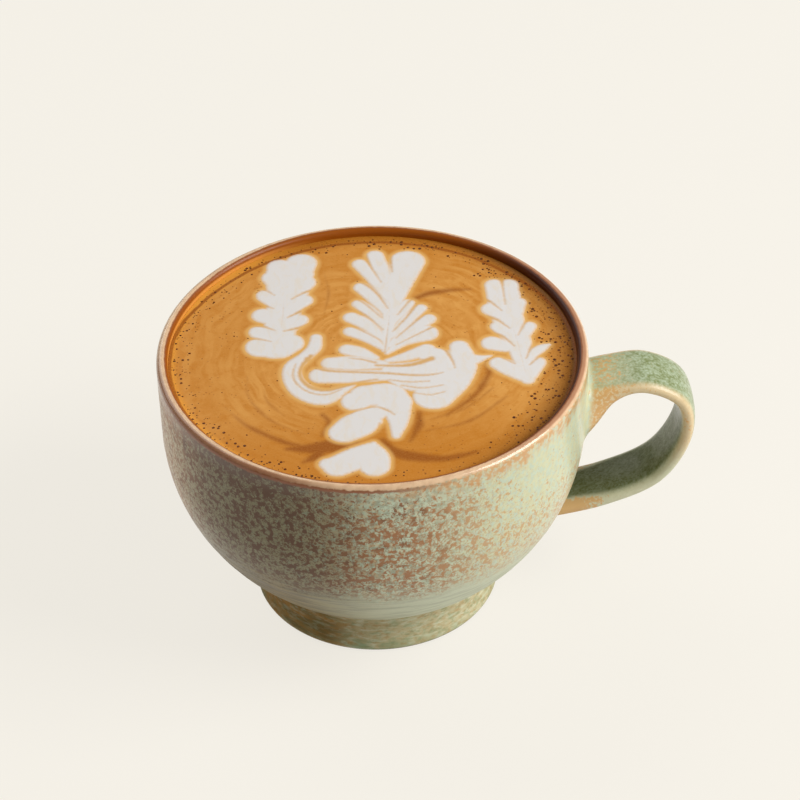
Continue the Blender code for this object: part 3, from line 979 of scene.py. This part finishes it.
# %% [markdown]
# ## Foam figures as strokes
#
# The barista draws with a jug: each push of milk leaves a drop that is round at its tip and thin where it
# was pulled. So every figure is a list of strokes, each a few points with a half width. The distance from
# any place to the nearest stroke's edge, measured inward, says how deep in the milk it lies. That one
# number gives the outline, its soft edge and the slight swell of the foam. Between two petals the crema
# shows as a fine line, and those lines are strokes too.

# %% Strokes and distances
FAR_OUTSIDE = -99.0


def curve_samples(points, steps_each=4):
    """Points (x, y, half width) on a smooth curve through the given ones."""
    path = [Vector(point) for point in points]
    steps = steps_each * (len(path) - 1)
    return np.array([smooth_path(path, step / steps) for step in range(steps + 1)])


def depth_in(strokes, places):
    """For each place, how far inside the nearest stroke's edge it lies, in mm; negative outside."""
    depth = np.full(len(places), FAR_OUTSIDE)
    for stroke in strokes:
        for start, end in zip(stroke, stroke[1:]):
            along = end[:2] - start[:2]
            share = np.clip(((places - start[:2]) @ along) / max(1e-9, along @ along), 0.0, 1.0)
            nearest = start[:2] + share[:, None] * along
            half_width = start[2] + share * (end[2] - start[2])
            depth = np.maximum(depth, half_width - np.linalg.norm(places - nearest, axis=1))
    return depth


def strokes_of(*strokes):
    """Each stroke is given as points (x, y, half width) in millimetres."""
    return [curve_samples(points) for points in strokes]


# %% [markdown]
# ### The left rosetta
#
# A leaf is a broad spine with lobes on both sides. The seams run in from the notches between the lobes and
# fade towards the spine.

# %% Left rosetta
LEFT_LEAF = strokes_of(
    ((-22.5, 4.8, 4.6), (-21, 14, 4), (-19.6, 24, 5), (-18.8, 33, 6)),
    ((-17.5, 32, 4), (-16, 37.3, 4)),
    ((-20, 32, 4), (-21.2, 36, 3.3)),
    ((-21, 29.5, 3.6), (-22.7, 31.8, 3)),
    ((-21, 22, 3.5), (-24.2, 24.7, 2.8)),
    ((-21.5, 15, 3), (-25.3, 17, 2.8)),
    ((-22, 9, 3), (-26.2, 10.5, 2.6)),
    ((-22, 4.2, 3.6), (-25.8, 4.8, 3.8)),
    ((-18, 27, 4), (-15.7, 29.5, 3.3)),
    ((-19, 20, 3), (-15.6, 22.4, 2.4)),
    ((-20, 11.5, 2.6), (-16.7, 14.7, 2.3)),
    ((-21.5, 4, 3.8), (-19.3, 5.9, 3.7)))
LEFT_SEAMS = strokes_of(
    ((-12.4, 26.8, 0.5), (-15.5, 25.4, 0.35), (-18.5, 23, 0.12)),
    ((-13.4, 19.7, 0.8), (-16.5, 18, 0.5), (-19.5, 15.8, 0.15)),
    ((-14.4, 12.4, 0.9), (-17, 11.6, 0.5), (-20.5, 10.6, 0.15)),
    ((-26, 28, 0.7), (-24, 26.4, 0.25), (-22.5, 24.8, 0.1)),
    ((-27.6, 21.2, 1), (-25, 20.8, 0.5), (-22.8, 19.5, 0.12)),
    ((-28.8, 13.6, 0.9), (-25.8, 12.9, 0.5), (-22.5, 11, 0.12)),
    ((-29.8, 8, 0.5), (-26.5, 7.9, 0.3), (-23.5, 6.8, 0.1)),
    ((-20.2, 24, -0.3), (-20.6, 17, -0.1), (-21.2, 9.5, -0.3)))

# %% Middle rosetta
CENTRE_LEAF = strokes_of(
    ((5.2, 20, 1.2), (1.6, 30, 2.2), (-1.8, 36.2, 2.1)),
    ((5.4, 20, 1.2), (3.6, 31, 2.3), (1.9, 39.4, 2.3)),
    ((5.6, 18, 1.5), (7.6, 28, 3.2), (9.6, 36.6, 4.5)),
    ((4.4, 15, 1.1), (1.6, 22, 2.3), (-1.7, 26.7, 2.1)),
    ((3.6, 9, 1.1), (0.6, 16, 2), (-2.6, 20.2, 1.8)),
    ((3.2, 5.5, 1.1), (-0.8, 11.8, 2.1), (-4.5, 15, 2.1)),
    ((2.9, 2.4, 0.9), (-1.2, 7.4, 2), (-4.8, 9.6, 1.9)),
    ((4.8, 12, 1.2), (7, 16.5, 2), (9, 19.6, 2)),
    ((4.4, 7, 1.2), (8.4, 13.2, 2), (11.9, 17.6, 1.8)),
    ((4, 3.6, 1.1), (9, 9.6, 2.1), (13.6, 13.4, 2)),
    ((3.4, 1, 0.8), (7.6, 5.4, 2), (12.6, 8, 3.2)),
    ((5.4, 22, 2), (4.2, 12, 2), (3, 2, 1)))
CENTRE_SEAMS = strokes_of(
    ((-4.4, 31.2, 0.8), (-0.6, 27.8, 0.45), (2.2, 23.4, 0.35), (4.2, 18, 0.12)),
    ((-4.8, 24, 0.6), (-1.6, 20.8, 0.3), (2.6, 14.6, 0.15)),
    ((-5, 18.6, 0.6), (-1.2, 15.8, 0.3), (2.8, 9.8, 0.12)),
    ((-7.4, 13.2, 0.6), (-3.4, 10.8, 0.3), (1.8, 6, 0.12)),
    ((-0.7, 40, 0.7), (0.8, 34.8, 0.3), (3, 28.6, 0.12)),
    ((5.4, 41.6, 0.9), (5.5, 37.8, 0.5), (5.8, 32.5, 0.12)),
    ((12.2, 23.6, 0.9), (9.4, 20.6, 0.3), (6.4, 15.4, 0.12)),
    ((11.4, 20.2, 0.5), (8.6, 14.6, 0.3), (5, 9, 0.12)),
    ((14.6, 17.8, 0.6), (10.2, 12.2, 0.3), (5.6, 6.4, 0.12)),
    ((16.4, 11.6, 0.4), (11, 7.8, 0.2), (5.6, 3.8, 0.1)),
    ((5.2, 24, -0.4), (4.3, 14, -0.15), (3.2, 4, 0.1), (2.8, 1, 0.1)))

# %% Right rosetta
RIGHT_LEAF = strokes_of(
    ((35.2, -10.8, 1.8), (34.2, 2, 3.2), (32, 14, 4), (31.8, 22, 4.2)),
    ((31, 20, 3.2), (29.9, 25.8, 2.5)),
    ((32.6, 20, 3), (33.4, 25.6, 2.5)),
    ((31, 14, 2.8), (28.5, 16.4, 2.5)),
    ((32, 7, 2.7), (30, 9.6, 2.3)),
    ((31, 1.8, 2.2), (27.9, 3.2, 2.7)),
    ((34.8, -10.4, 1.7), (31.8, -6.8, 2.8), (29, -4.4, 2.4)),
    ((33.5, 13.5, 2.4), (35.2, 18.6, 2)),
    ((34.5, 5, 2.2), (37, 9.2, 1.9)),
    ((35.6, -9, 2.2), (37.7, -4.6, 2.3)),
    ((35.8, -2.4, 1.9), (39, 0.6, 1.5), (41, 1.9, 0.6)))
RIGHT_SEAMS = strokes_of(
    ((26.4, 20.4, 0.9), (28.4, 19.4, 0.4), (31, 15.6, 0.12)),
    ((27.4, 13.2, 0.9), (29.6, 12.2, 0.4), (32.4, 8.6, 0.12)),
    ((28.6, 6.7, 0.7), (30.6, 5.6, 0.4), (33, 1.8, 0.12)),
    ((24.6, -0.6, 0.7), (28.4, -1.2, 0.45), (32.6, -4.8, 0.15)),
    ((38.4, 13.6, 0.7), (36.2, 10.8, 0.35), (34.2, 6, 0.12)),
    ((38.6, 3.4, 0.9), (36.8, 1, 0.4), (35.4, -3, 0.12)),
    ((41.6, -1.2, 0.8), (38.8, -2.2, 0.45), (36, -5.4, 0.12)),
    ((31.8, 27.6, 0.5), (31.9, 24, 0.2), (32, 18, 0.12)),
    ((32.6, 14, -0.4), (33.8, 3, -0.15), (34.8, -8, -0.2)))

# %% [markdown]
# ### Wings, tulip and heart
#
# The wings were poured freely: three feathers to the left, a curled neck round them, and a broad fan to the
# right. The tulip and the heart are two lobes each, pulled to a point.

# %% Wings
WINGS = strokes_of(
    ((0.6, -0.8, 1.1), (-3, 1.5, 2.1), (-5.8, 2.7, 2.1)),
    ((2.5, -3.4, 1.6), (-4, -2.5, 2.8), (-9.8, -2.2, 2.3)),
    ((6, -7.2, 2), (-4, -7.4, 2.5), (-12.1, -6.7, 2.9)),
    ((-12.9, 7.7, 1.5), (-13.4, 4, 1.8), (-15.6, 0.6, 1.8), (-18.4, -3.2, 2.3), (-18.4, -8, 2.5),
     (-16, -12.4, 2.9), (-11.6, -14.7, 2.9), (-7.4, -12.4, 1.5), (-4.6, -10.5, 0.6)),
    ((3.4, -2, 0.9), (8, -0.6, 1.8), (12.6, 1.6, 2.3)),
    ((20.2, 2.4, 2.4), (20.6, -3.5, 3.6), (17.5, -9.5, 5), (13.4, -15.6, 4.9)),
    ((4, -5.4, 2.4), (10, -5.4, 3), (16, -4, 4)),
    ((3.6, -8, 1.5), (8, -10.2, 3.1), (14, -9.8, 4.8)),
    ((12.6, 0.2, 2.8), (16.8, -2, 3.4)),
    ((21.5, -3, 2.8), (24.8, -2.3, 1.3), (27.4, -1.5, 0.4)))
WING_SEAMS = strokes_of(
    ((-15, -0.4, 0.9), (-13.4, -3.2, 0.7), (-10.4, -5, 0.45), (-4, -5.9, 0.38), (3, -6.7, 0.38),
     (8, -7.6, 0.38), (12.4, -7.9, 0.3), (16, -7.2, 0.1)),
    ((-14.2, 0.8, 0.6), (-16.2, -2.6, 0.6), (-16.9, -6.6, 0.5), (-14.8, -10.6, 0.7), (-11, -11.8, 0.95),
     (-6.4, -10.7, 0.6), (-1.4, -9.2, 0.4), (0.8, -8.9, 0.2)),
    ((-17.8, -2, 0.1), (-18.5, -5.5, 0.2), (-17.8, -9.2, 0.22), (-14.8, -12.8, 0.22), (-11, -13.8, 0.2),
     (-7.4, -12, 0.12)),
    ((-5.4, -0.6, 0.1), (-2.6, -1.2, 0.25), (0.6, -2.6, 0.35)),
    ((0.6, -3.6, 0.35), (4.5, -4, 0.45), (9, -3.8, 0.65), (13.6, -1.8, 0.8)),
    ((15.4, 4.8, 0.9), (17, 1.2, 0.5), (18.2, -2.4, 0.3), (18.8, -5.6, 0.12)),
    ((3.6, -9.2, 0.15), (8, -10.2, 0.22), (12.6, -10.2, 0.15)),
    ((6.2, -11.4, 0.15), (11, -12.6, 0.22), (15.6, -11.8, 0.12)),
    ((8.8, -14.2, 0.12), (12.6, -15.2, 0.18), (16, -14.2, 0.1)))

# %% Tulip and heart
TULIP = strokes_of(
    ((0.4, -13.6, 2.6), (-4.2, -16.5, 3.7)),
    ((0.4, -13.6, 2.6), (4.6, -17.4, 4)),
    ((-2.2, -14.6, 3.8), (3.2, -14.8, 4.3), (3.6, -19, 3.4)),
    ((4.6, -18, 3.9), (5, -24, 2.5), (4.3, -29.3, 1.2)),
    ((1, -20.5, 2.6), (-4.5, -24, 3.4), (-7.5, -27.6, 3.5)),
    ((-7, -28, 3.2), (-2.8, -26.4, 2.5), (0, -24, 1.6)))
TULIP_SEAMS = strokes_of(
    ((-8.6, -21, 0.9), (-6.2, -20.6, 0.6), (-3.8, -19.6, 0.25), (0, -18.9, 0.2), (2.6, -20.2, 0.3),
     (4.2, -22, 0.12)),
    ((0.9, -31, 1), (0.8, -28, 0.7), (0.7, -24.8, 0.2)))
HEART = strokes_of(
    ((-0.9, -31.9, 0.9), (-4.6, -36.4, 3.6), (-9, -39.2, 3.6)),
    ((-0.9, -31.9, 0.9), (-0.6, -36.5, 3.2), (-0.9, -39.6, 3.6)),
    ((-9, -39.2, 3.4), (-11.2, -38.4, 2.1)))
HEART_SEAMS = strokes_of(((-3.6, -43.4, 0.9), (-3.4, -41.8, 0.2)))
FIGURES = {
    "foam_rosetta_left": (LEFT_LEAF, LEFT_SEAMS),
    "foam_rosetta_centre": (CENTRE_LEAF, CENTRE_SEAMS),
    "foam_rosetta_right": (RIGHT_LEAF, RIGHT_SEAMS),
    "foam_wings": (WINGS, WING_SEAMS),
    "foam_tulip": (TULIP, TULIP_SEAMS),
    "foam_heart": (HEART, HEART_SEAMS),
}
print("strokes:", {name: len(strokes) for name, (strokes, _) in FIGURES.items()})

# %% [markdown]
# ## The drink
#
# The drink is one body of coffee with a skin of crema. Its top is a disc of square-ish faces, pushed out to
# a circle, with a small meniscus where it climbs the wall, and it reaches a little into the wall so that no
# gap shows. The foam's outline is handed to the material as an attribute, because crema darkens right next
# to the milk, and listed darker swirls are handed over in the same way.

# %% The drink's mesh
DRINK_CELLS = 210
MENISCUS_HEIGHT = 0.40
MENISCUS_WIDTH = 1.1
REACH_INTO_WALL = 0.15
DRINK_HEIGHTS = (0.060, 0.052, 0.044, 0.036, 0.029, 0.023, 0.018, 0.014, 0.0115)


def inner_radius_at(height):
    points = hollow_points()
    for (r1, z1), (r0, z0) in zip(points, points[1:]):
        if z0 <= height <= z1:
            return r0 + (r1 - r0) * (height - z0) / (z1 - z0)


POOL_RADIUS = inner_radius_at(DRINK_LEVEL) / MM
SWIRLS = strokes_of(
    ((-20, -32.6, 0.2), (-15, -32.8, 1.5), (-9, -31.9, 1.8), (-5, -30.8, 0.6)),
    ((-16.5, -37.4, 0.1), (-14.2, -35.8, 0.9), (-12.4, -33.6, 0.8)),
    ((1.2, -30.6, 0.4), (3.8, -34.8, 1.1), (8.6, -37, 1.3), (15, -37.8, 0.9), (22, -36, 0.1)),
    ((-34, -17, -0.5), (-29, -24, -0.1), (-21, -30, 0.3), (-14, -33, 0.2)),
    ((-12, -21, 0), (-10.6, -24, 0.2), (-12.2, -28.4, 0)),
    ((10, 21, 0.2), (14, 23.4, 0.5), (19, 24.4, 0.5), (24, 24.6, 0.1)),
    ((26, -3.6, 0.1), (26.4, -8, 0.3), (22.6, -16, 0.3), (16, -22.6, 0)),
    ((9.8, -21.6, 0.3), (9.4, -26, 0.5), (7.4, -31.4, 0.2)),
    ((12, -24, -0.6), (20, -20.6, -0.2), (27, -13.4, -0.5)),
    ((11, -28, -0.6), (21, -25, -0.2), (30, -16.6, -0.5)),
    ((-25, -9, -0.7), (-24.6, -15, -0.3), (-20.6, -21, -0.6)),
    ((-29, -6, -0.7), (-28.6, -14, -0.3), (-23.6, -22.4, -0.3), (-16, -27.6, -0.6)),
    ((-10.6, 34, -0.8), (-9.6, 25, -0.4), (-11, 16, -0.7)))


def disc_points(cells):
    """A square grid whose square rings are pushed out to circles, in shares of the radius."""
    line = np.linspace(-1.0, 1.0, cells + 1)
    u, v = (axis.ravel() for axis in np.meshgrid(line, line))
    ring = np.maximum(np.abs(u), np.abs(v))
    length = np.maximum(1e-9, np.hypot(u, v))
    return np.stack([u * ring / length, v * ring / length], axis=1)


def all_depths(places):
    return depth_in([stroke for strokes, _ in FIGURES.values() for stroke in strokes], places)


def grid_quads(corners, row):
    """Faces from their first corners, on a grid with so many points in a row."""
    return np.column_stack([corners, corners + 1, corners + row + 1, corners + row])


def drink_mesh():
    places = disc_points(DRINK_CELLS) * (POOL_RADIUS + REACH_INTO_WALL)
    radius = np.linalg.norm(places, axis=1)
    climb = np.clip((radius - (POOL_RADIUS - MENISCUS_WIDTH)) / MENISCUS_WIDTH, 0.0, 1.0)
    points = np.column_stack([places, DRINK_LEVEL / MM + MENISCUS_HEIGHT * climb ** 2]) * MM
    row = DRINK_CELLS + 1
    corners = np.add.outer(np.arange(DRINK_CELLS) * row, np.arange(DRINK_CELLS)).ravel()
    return new_mesh("drink", points.tolist(), grid_quads(corners, row).tolist(),
                    depth=all_depths(places), swirl=depth_in(SWIRLS, places))


def close_below(mesh, sections):
    """Carry the open edge down through rings of (share of the radius, height) and close it."""
    shape = bmesh.new()
    shape.from_mesh(mesh)
    for share, height in sections:
        rim = [edge for edge in shape.edges if edge.is_boundary]
        made = bmesh.ops.extrude_edge_only(shape, edges=rim)["geom"]
        for corner in (item for item in made if isinstance(item, bmesh.types.BMVert)):
            corner.co.x *= share
            corner.co.y *= share
            corner.co.z = height
    rim = [edge for edge in shape.edges if edge.is_boundary]
    bmesh.ops.triangle_fill(shape, use_beauty=False, use_dissolve=False, edges=rim)
    bmesh.ops.recalc_face_normals(shape, faces=shape.faces[:])
    shape.to_mesh(mesh)
    shape.free()
    mesh.shade_smooth()
    return mesh


def drink_sections():
    """The hollow's form a hair outside its wall, as shares of the ring above."""
    radii = [POOL_RADIUS + REACH_INTO_WALL]
    radii += [inner_radius_at(height) / MM + REACH_INTO_WALL for height in DRINK_HEIGHTS]
    return [(radius / last, height) for last, radius, height in zip(radii, radii[1:], DRINK_HEIGHTS)]


drink = add_piece("drink_body", close_below(drink_mesh(), drink_sections()))
print("drink:", triangles(drink), "triangles")

# %% [markdown]
# ## The crema
#
# Crema is a brown foam of coffee oils. Its tone swirls round the cup with the pour, is deep brown towards
# the handle's side, partly froth piled up against the wall and partly painted shade from the rim, and its
# wet rim is painted ochre as light at the far left, partly, and dark as shade on the handle's side. It has
# fine pores all over. The same crema shows at the soft edges of the foam figures, so its colour is a node
# group.

# %% Crema colour as a group
CREMA = linear(208, 146, 70)
CREMA_PALE = linear(218, 160, 84)
CREMA_DEEP = linear(184, 112, 20)
CREMA_EDGE = linear(130, 76, 12)
CREMA_DARK = linear(134, 64, 0)
CREMA_OCHRE = linear(218, 150, 54)
CREMA_WET = linear(164, 98, 16)
CREMA_GOLD = linear(222, 176, 106)
CREMA_RELIEF = 0.08 * MM


def poured_tone(w, x, y, flat, clouds):
    """Bands and clouds from the pour, deeper at the front, the back and the left."""
    bands = w.group(SWIRL_BANDS, Place=flat, Along=1.5, Across=0.55, Wobble=10.0)["Bands"]
    tone = w.mix(w.between(bands, 0.38, 0.64), CREMA_DEEP, CREMA_PALE)
    tone = w.mix(w.between(clouds, 0.34, 0.66, 0.42, 0.86), tone, CREMA)
    mottled = w.noise(flat, 0.34, 4.0, 0.65)
    tone = w.mix(w.between(mottled, 0.50, 0.66, 0.0, 0.45), tone, CREMA_PALE)
    tone = w.mix(w.between(mottled, 0.46, 0.34, 0.0, 0.40), tone, CREMA_DEEP)
    outer = w.maths("MAXIMUM", w.between(y, -12.0, -36.0, 0.0, 0.75), w.between(y, 24.0, 42.0, 0.0, 0.5))
    outer = w.maths("MAXIMUM", outer, w.between(x, -18.0, -38.0, 0.0, 0.35))
    return w.mix(outer, tone, CREMA_DEEP)


def tone_by_wall(w, tone, x, y, radius, clouds):
    """Darker on the handle's side, partly froth and partly painted shade; a wet band along the wall,
    partly painted lit ochre at the far left; and a dark line in it.
    """
    towards_handle = w.between(w.minus(x, w.times(y, 0.12)), 12.0, 46.0)
    edge = w.between(radius, POOL_RADIUS - 9.0, POOL_RADIUS - 1.0)
    # partly froth, partly painted shade: crema darkened towards the handle's side, under the rim
    tone = w.paint(tone, CREMA_EDGE, towards_handle, edge, 0.9)
    off_rim = w.minus(POOL_RADIUS, w.plus(radius, w.minus(clouds, 0.5)))
    # the wet band: partly painted light in ochre at the far left, which faces the lamp, and painted shade on
    # the handle's side
    wet_tone = w.mix(w.between(x, -12.0, -34.0), CREMA_WET, CREMA_OCHRE)
    wet_tone = w.mix(towards_handle, wet_tone, CREMA_EDGE)
    band = w.between(y, 10.0, 36.0, 2.6, 4.6)
    tone = w.mix(w.between(off_rim, band, 0.9, 0.0, 0.85), tone, wet_tone)
    from_line = w.maths("ABSOLUTE", w.minus(off_rim, w.between(y, 6.0, 34.0, 0.30, 2.2)))
    return w.mix(w.between(from_line, 0.65, 0.25, 0.0, 0.8), tone, CREMA_DARK)


def make_crema():
    shared, w, given, out = new_group(
        "crema_colour",
        {"Place": ("Vector", None), "Depth": ("Float", FAR_OUTSIDE), "Swirl": ("Float", FAR_OUTSIDE)},
        {"Colour": "Color", "Pores": "Float"})
    x, y = w.axes(given["Place"])[0:2]
    flat = w.stretch(given["Place"], 1.0, 0.0)
    clouds = w.noise(flat, 0.10, 3.0, 0.6)
    tone = poured_tone(w, x, y, flat, clouds)
    tone = w.paint(tone, CREMA_DEEP, w.between(given["Depth"], -3.2, -1.2), 0.28)
    streak = w.plus(given["Swirl"], w.times(w.minus(clouds, 0.5), 1.6))
    tone = w.paint(tone, CREMA_DARK, w.between(streak, -1.2, 0.7), 0.8)
    tone = w.paint(tone, CREMA_GOLD, w.between(given["Depth"], -1.4, 0.0), 0.85)
    tone = tone_by_wall(w, tone, x, y, w.length(flat), clouds)
    cells = w.node("ShaderNodeTexVoronoi", {"Vector": flat, "Scale": 0.95})
    size = w.between(w.noise(flat, 0.25), 0.42, 0.70, 0.02, 0.26)
    pores = w.maths("LESS_THAN", cells.outputs["Distance"], size)
    tone = w.paint(tone, CREMA_DARK, pores, 0.45)
    tone = w.paint(tone, CREMA_PALE, w.between(w.noise(flat, 2.4, 3.0), 0.3, 0.7), 0.16)
    w.put(out["Colour"], tone)
    w.put(out["Pores"], pores)
    return shared


CREMA_COLOUR = make_crema()


def make_crema_material():
    material, w, sockets = new_material("crema", Specular_IOR_Level=0.12)
    place = w.millimetres()
    crema = w.group(CREMA_COLOUR, Place=place, Depth=w.attribute("depth"), Swirl=w.attribute("swirl"))
    w.put(sockets["Base Color"], crema["Colour"])
    w.put(sockets["Roughness"], w.between(w.noise(place, 1.2), 0.3, 0.7, 0.38, 0.52))
    relief = w.minus(w.noise(place, 1.6, 3.0), crema["Pores"])
    w.put(sockets["Normal"], w.bump(relief, 0.3, CREMA_RELIEF))
    return material


drink.data.materials.append(make_crema_material())
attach(drink, "root")
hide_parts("drink")

# %% [markdown]
# ## The foam figures
#
# Each figure is cut from a fine grid that follows its own outline, with a margin that dips under the crema.
# Inside, the foam swells by a tenth of a millimetre, and the fine lines between its petals are pressed in.
# A Boolean cut would leave a hard edge. Here the edge is a soft change of colour at the place where the
# foam comes up through the crema, as it is in a real cup.

# %% Foam meshes
FOAM_CELL = 0.24
FOAM_MARGIN = 0.5
FOAM_SWELL = 0.10
SEAM_PRESS = 0.05
FOAM_DIP = 0.12
# Where the swell and the press begin, in mm outside the edge, and how far in they are full
SWELL_RAMP = (0.3, 1.1)
PRESS_RAMP = (0.35, 0.5)


def ramp(depth, start_and_width):
    start, width = start_and_width
    return np.clip((depth + start) / width, 0.0, 1.0)


def foam_mesh(name, strokes, seams):
    spots = np.concatenate(strokes)
    low = spots[:, :2].min(axis=0) - spots[:, 2].max() - FOAM_MARGIN
    high = spots[:, :2].max(axis=0) + spots[:, 2].max() + FOAM_MARGIN
    xs, ys = np.arange(low[0], high[0], FOAM_CELL), np.arange(low[1], high[1], FOAM_CELL)
    grid = np.stack(np.meshgrid(xs, ys), axis=-1).reshape(-1, 2)
    depth = depth_in(strokes, grid)
    kept = (depth > -FOAM_MARGIN).reshape(len(ys), len(xs))
    cells = kept[:-1, :-1] & kept[:-1, 1:] & kept[1:, :-1] & kept[1:, 1:]
    rows, columns = np.nonzero(cells)
    used, quads = np.unique(grid_quads(rows * len(xs) + columns, len(xs)), return_inverse=True)
    places, depth = grid[used], depth[used]
    seam = depth_in(seams, places)
    inside = ramp(depth, SWELL_RAMP)
    swell = FOAM_SWELL * inside * inside * (3 - 2 * inside)
    dip = FOAM_DIP * np.clip(-depth / FOAM_MARGIN, 0.0, 1.0)
    press = SEAM_PRESS * ramp(seam, PRESS_RAMP) * inside
    points = np.column_stack([places, DRINK_LEVEL / MM + swell - dip - press]) * MM
    mesh = new_mesh(name, points.tolist(), quads.reshape(-1, 4).tolist(), depth=depth, seam=seam)
    return close_below(mesh, [(1.0, DRINK_LEVEL - FOAM_DEPTH)])


# %% [markdown]
# ## Milk foam
#
# Steamed milk is a warm white, with tan streaks where crema was folded in. Near the outline it fades into
# the crema over half a millimetre, with a ragged edge from fine noise.

# %% Milk foam material
MILK = linear(217, 214, 213)
MILK_WARM = linear(218, 206, 188)
SEAM_TAN = linear(206, 158, 88)
MILK_RELIEF = 0.05 * MM


def make_milk():
    material, w, sockets = new_material("milk_foam", Specular_IOR_Level=0.2)
    place = w.millimetres()
    depth, seam = w.attribute("depth"), w.attribute("seam")
    ragged = w.times(w.minus(w.noise(place, 1.3, 3.0), 0.5), 0.5)
    streaks = w.noise(w.vector_maths("MULTIPLY", place, (0.55, 0.22, 0.3)), 1.0, 3.0, 0.6, 0.8)
    milk = w.mix(w.between(streaks, 0.45, 0.72, 0.0, 0.5), MILK, MILK_WARM)
    milk = w.paint(milk, SEAM_TAN, w.between(w.plus(seam, ragged), -0.45, 0.55), 0.9)
    crema = w.group(CREMA_COLOUR, Place=place, Depth=depth, Swirl=FAR_OUTSIDE)
    rim = w.between(w.plus(depth, ragged), -0.45, 0.9)
    w.put(sockets["Base Color"], w.mix(rim, crema["Colour"], milk))
    w.put(sockets["Roughness"], w.between(w.noise(place, 1.2), 0.3, 0.7, 0.42, 0.55))
    w.put(sockets["Normal"], w.bump(w.noise(place, 1.8, 3.0), 0.25, MILK_RELIEF))
    return material


MILK_FOAM = make_milk()
for name, (strokes, seams) in FIGURES.items():
    figure = add_piece(name.replace("foam_", "milk_"), foam_mesh(name, strokes, seams))
    figure.data.materials.append(MILK_FOAM)
    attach(figure, "root")
    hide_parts(name)
    print(figure.name, triangles(figure), "triangles")

# %% [markdown]
# ## Bubbles
#
# Larger bubbles gather along the wall, most of them on the handle's side, and a few lie scattered in the
# crema. Each is a low dome of dark coffee film. All are joined in one mesh, placed by a seeded draw inside
# named sectors, so that the script gives the same bubbles each run.

# %% Bubbles
BUBBLE_SEED = 11
BUBBLE_SIDES = 10
BUBBLE_RINGS = 3
BUBBLE_RISE = 0.45
BUBBLE_SINK = 0.02
CLEAR_OF_FOAM = 0.4
BUBBLE_DARK = linear(74, 32, 4)
BUBBLE_BROWN = linear(112, 58, 12)
# Sectors: first and last angle in degrees, distance from the wall in mm (nearest, furthest), count, sizes
BUBBLE_SECTORS = (
    (-42.0, 50.0, 1.0, 8.0, 400, 0.13, 0.42),
    (50.0, 130.0, 0.8, 5.0, 130, 0.14, 0.42),
    (130.0, 205.0, 1.0, 5.0, 110, 0.13, 0.34),
    (205.0, 265.0, 0.8, 5.0, 130, 0.13, 0.38),
    (265.0, 318.0, 1.0, 6.0, 50, 0.12, 0.30),
    (0.0, 360.0, 5.0, 40.0, 120, 0.10, 0.24),
)


def dome(x, y, z, radius):
    """Points and faces of one low dome that reaches a little under the surface."""
    points, faces = [], []
    for ring in range(BUBBLE_RINGS):
        rise = (ring / BUBBLE_RINGS) * math.pi / 2
        wide, high = radius * math.cos(rise), radius * BUBBLE_RISE * math.sin(rise)
        turns = (2 * math.pi * side / BUBBLE_SIDES for side in range(BUBBLE_SIDES))
        points += [(x + wide * math.cos(turn), y + wide * math.sin(turn), z + high) for turn in turns]
    points.append((x, y, z + radius * BUBBLE_RISE))
    for ring in range(BUBBLE_RINGS - 1):
        faces += ring_faces(ring * BUBBLE_SIDES, (ring + 1) * BUBBLE_SIDES, BUBBLE_SIDES)
    faces += fan_faces((BUBBLE_RINGS - 1) * BUBBLE_SIDES, BUBBLE_SIDES, len(points) - 1)
    faces.append(tuple(reversed(range(BUBBLE_SIDES))))
    return points, faces


def bubble_spots():
    draw = random.Random(BUBBLE_SEED)
    spots = []
    for first, last, near, far, count, small, large in BUBBLE_SECTORS:
        for _ in range(count):
            angle = math.radians(draw.uniform(first, last))
            inward = near + (far - near) * draw.random() ** 1.4
            size = small + (large - small) * draw.random() ** 2
            radius = POOL_RADIUS - inward
            spots.append((radius * math.cos(angle), radius * math.sin(angle), size))
    places = np.array([spot[:2] for spot in spots])
    clear = all_depths(places) < -CLEAR_OF_FOAM
    chosen = []
    for spot, free in zip(spots, clear):
        if free and all(math.dist(spot[:2], other[:2]) > spot[2] + other[2] for other in chosen):
            chosen.append(spot)
    return chosen


def make_bubbles():
    points, faces = [], []
    for x, y, size in bubble_spots():
        more_points, more_faces = dome(x, y, DRINK_LEVEL / MM - BUBBLE_SINK, size)
        faces += [tuple(index + len(points) for index in face) for face in more_faces]
        points += more_points
    mesh = new_mesh("bubbles", [tuple(value * MM for value in point) for point in points], faces)
    mesh.shade_smooth()
    return add_piece("crema_bubbles", mesh)


def make_bubble_material():
    material, w, sockets = new_material("bubble_film", Roughness=0.25, Specular_IOR_Level=0.25)
    film = patches(w, w.millimetres(), 0.9, 0.5, 0.2)
    w.put(sockets["Base Color"], w.mix(film, BUBBLE_DARK, BUBBLE_BROWN))
    return material


bubbles = make_bubbles()
bubbles.data.materials.append(make_bubble_material())
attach(bubbles, "root")
print("bubbles:", len(bubbles.data.vertices) // (BUBBLE_SIDES * BUBBLE_RINGS + 1))
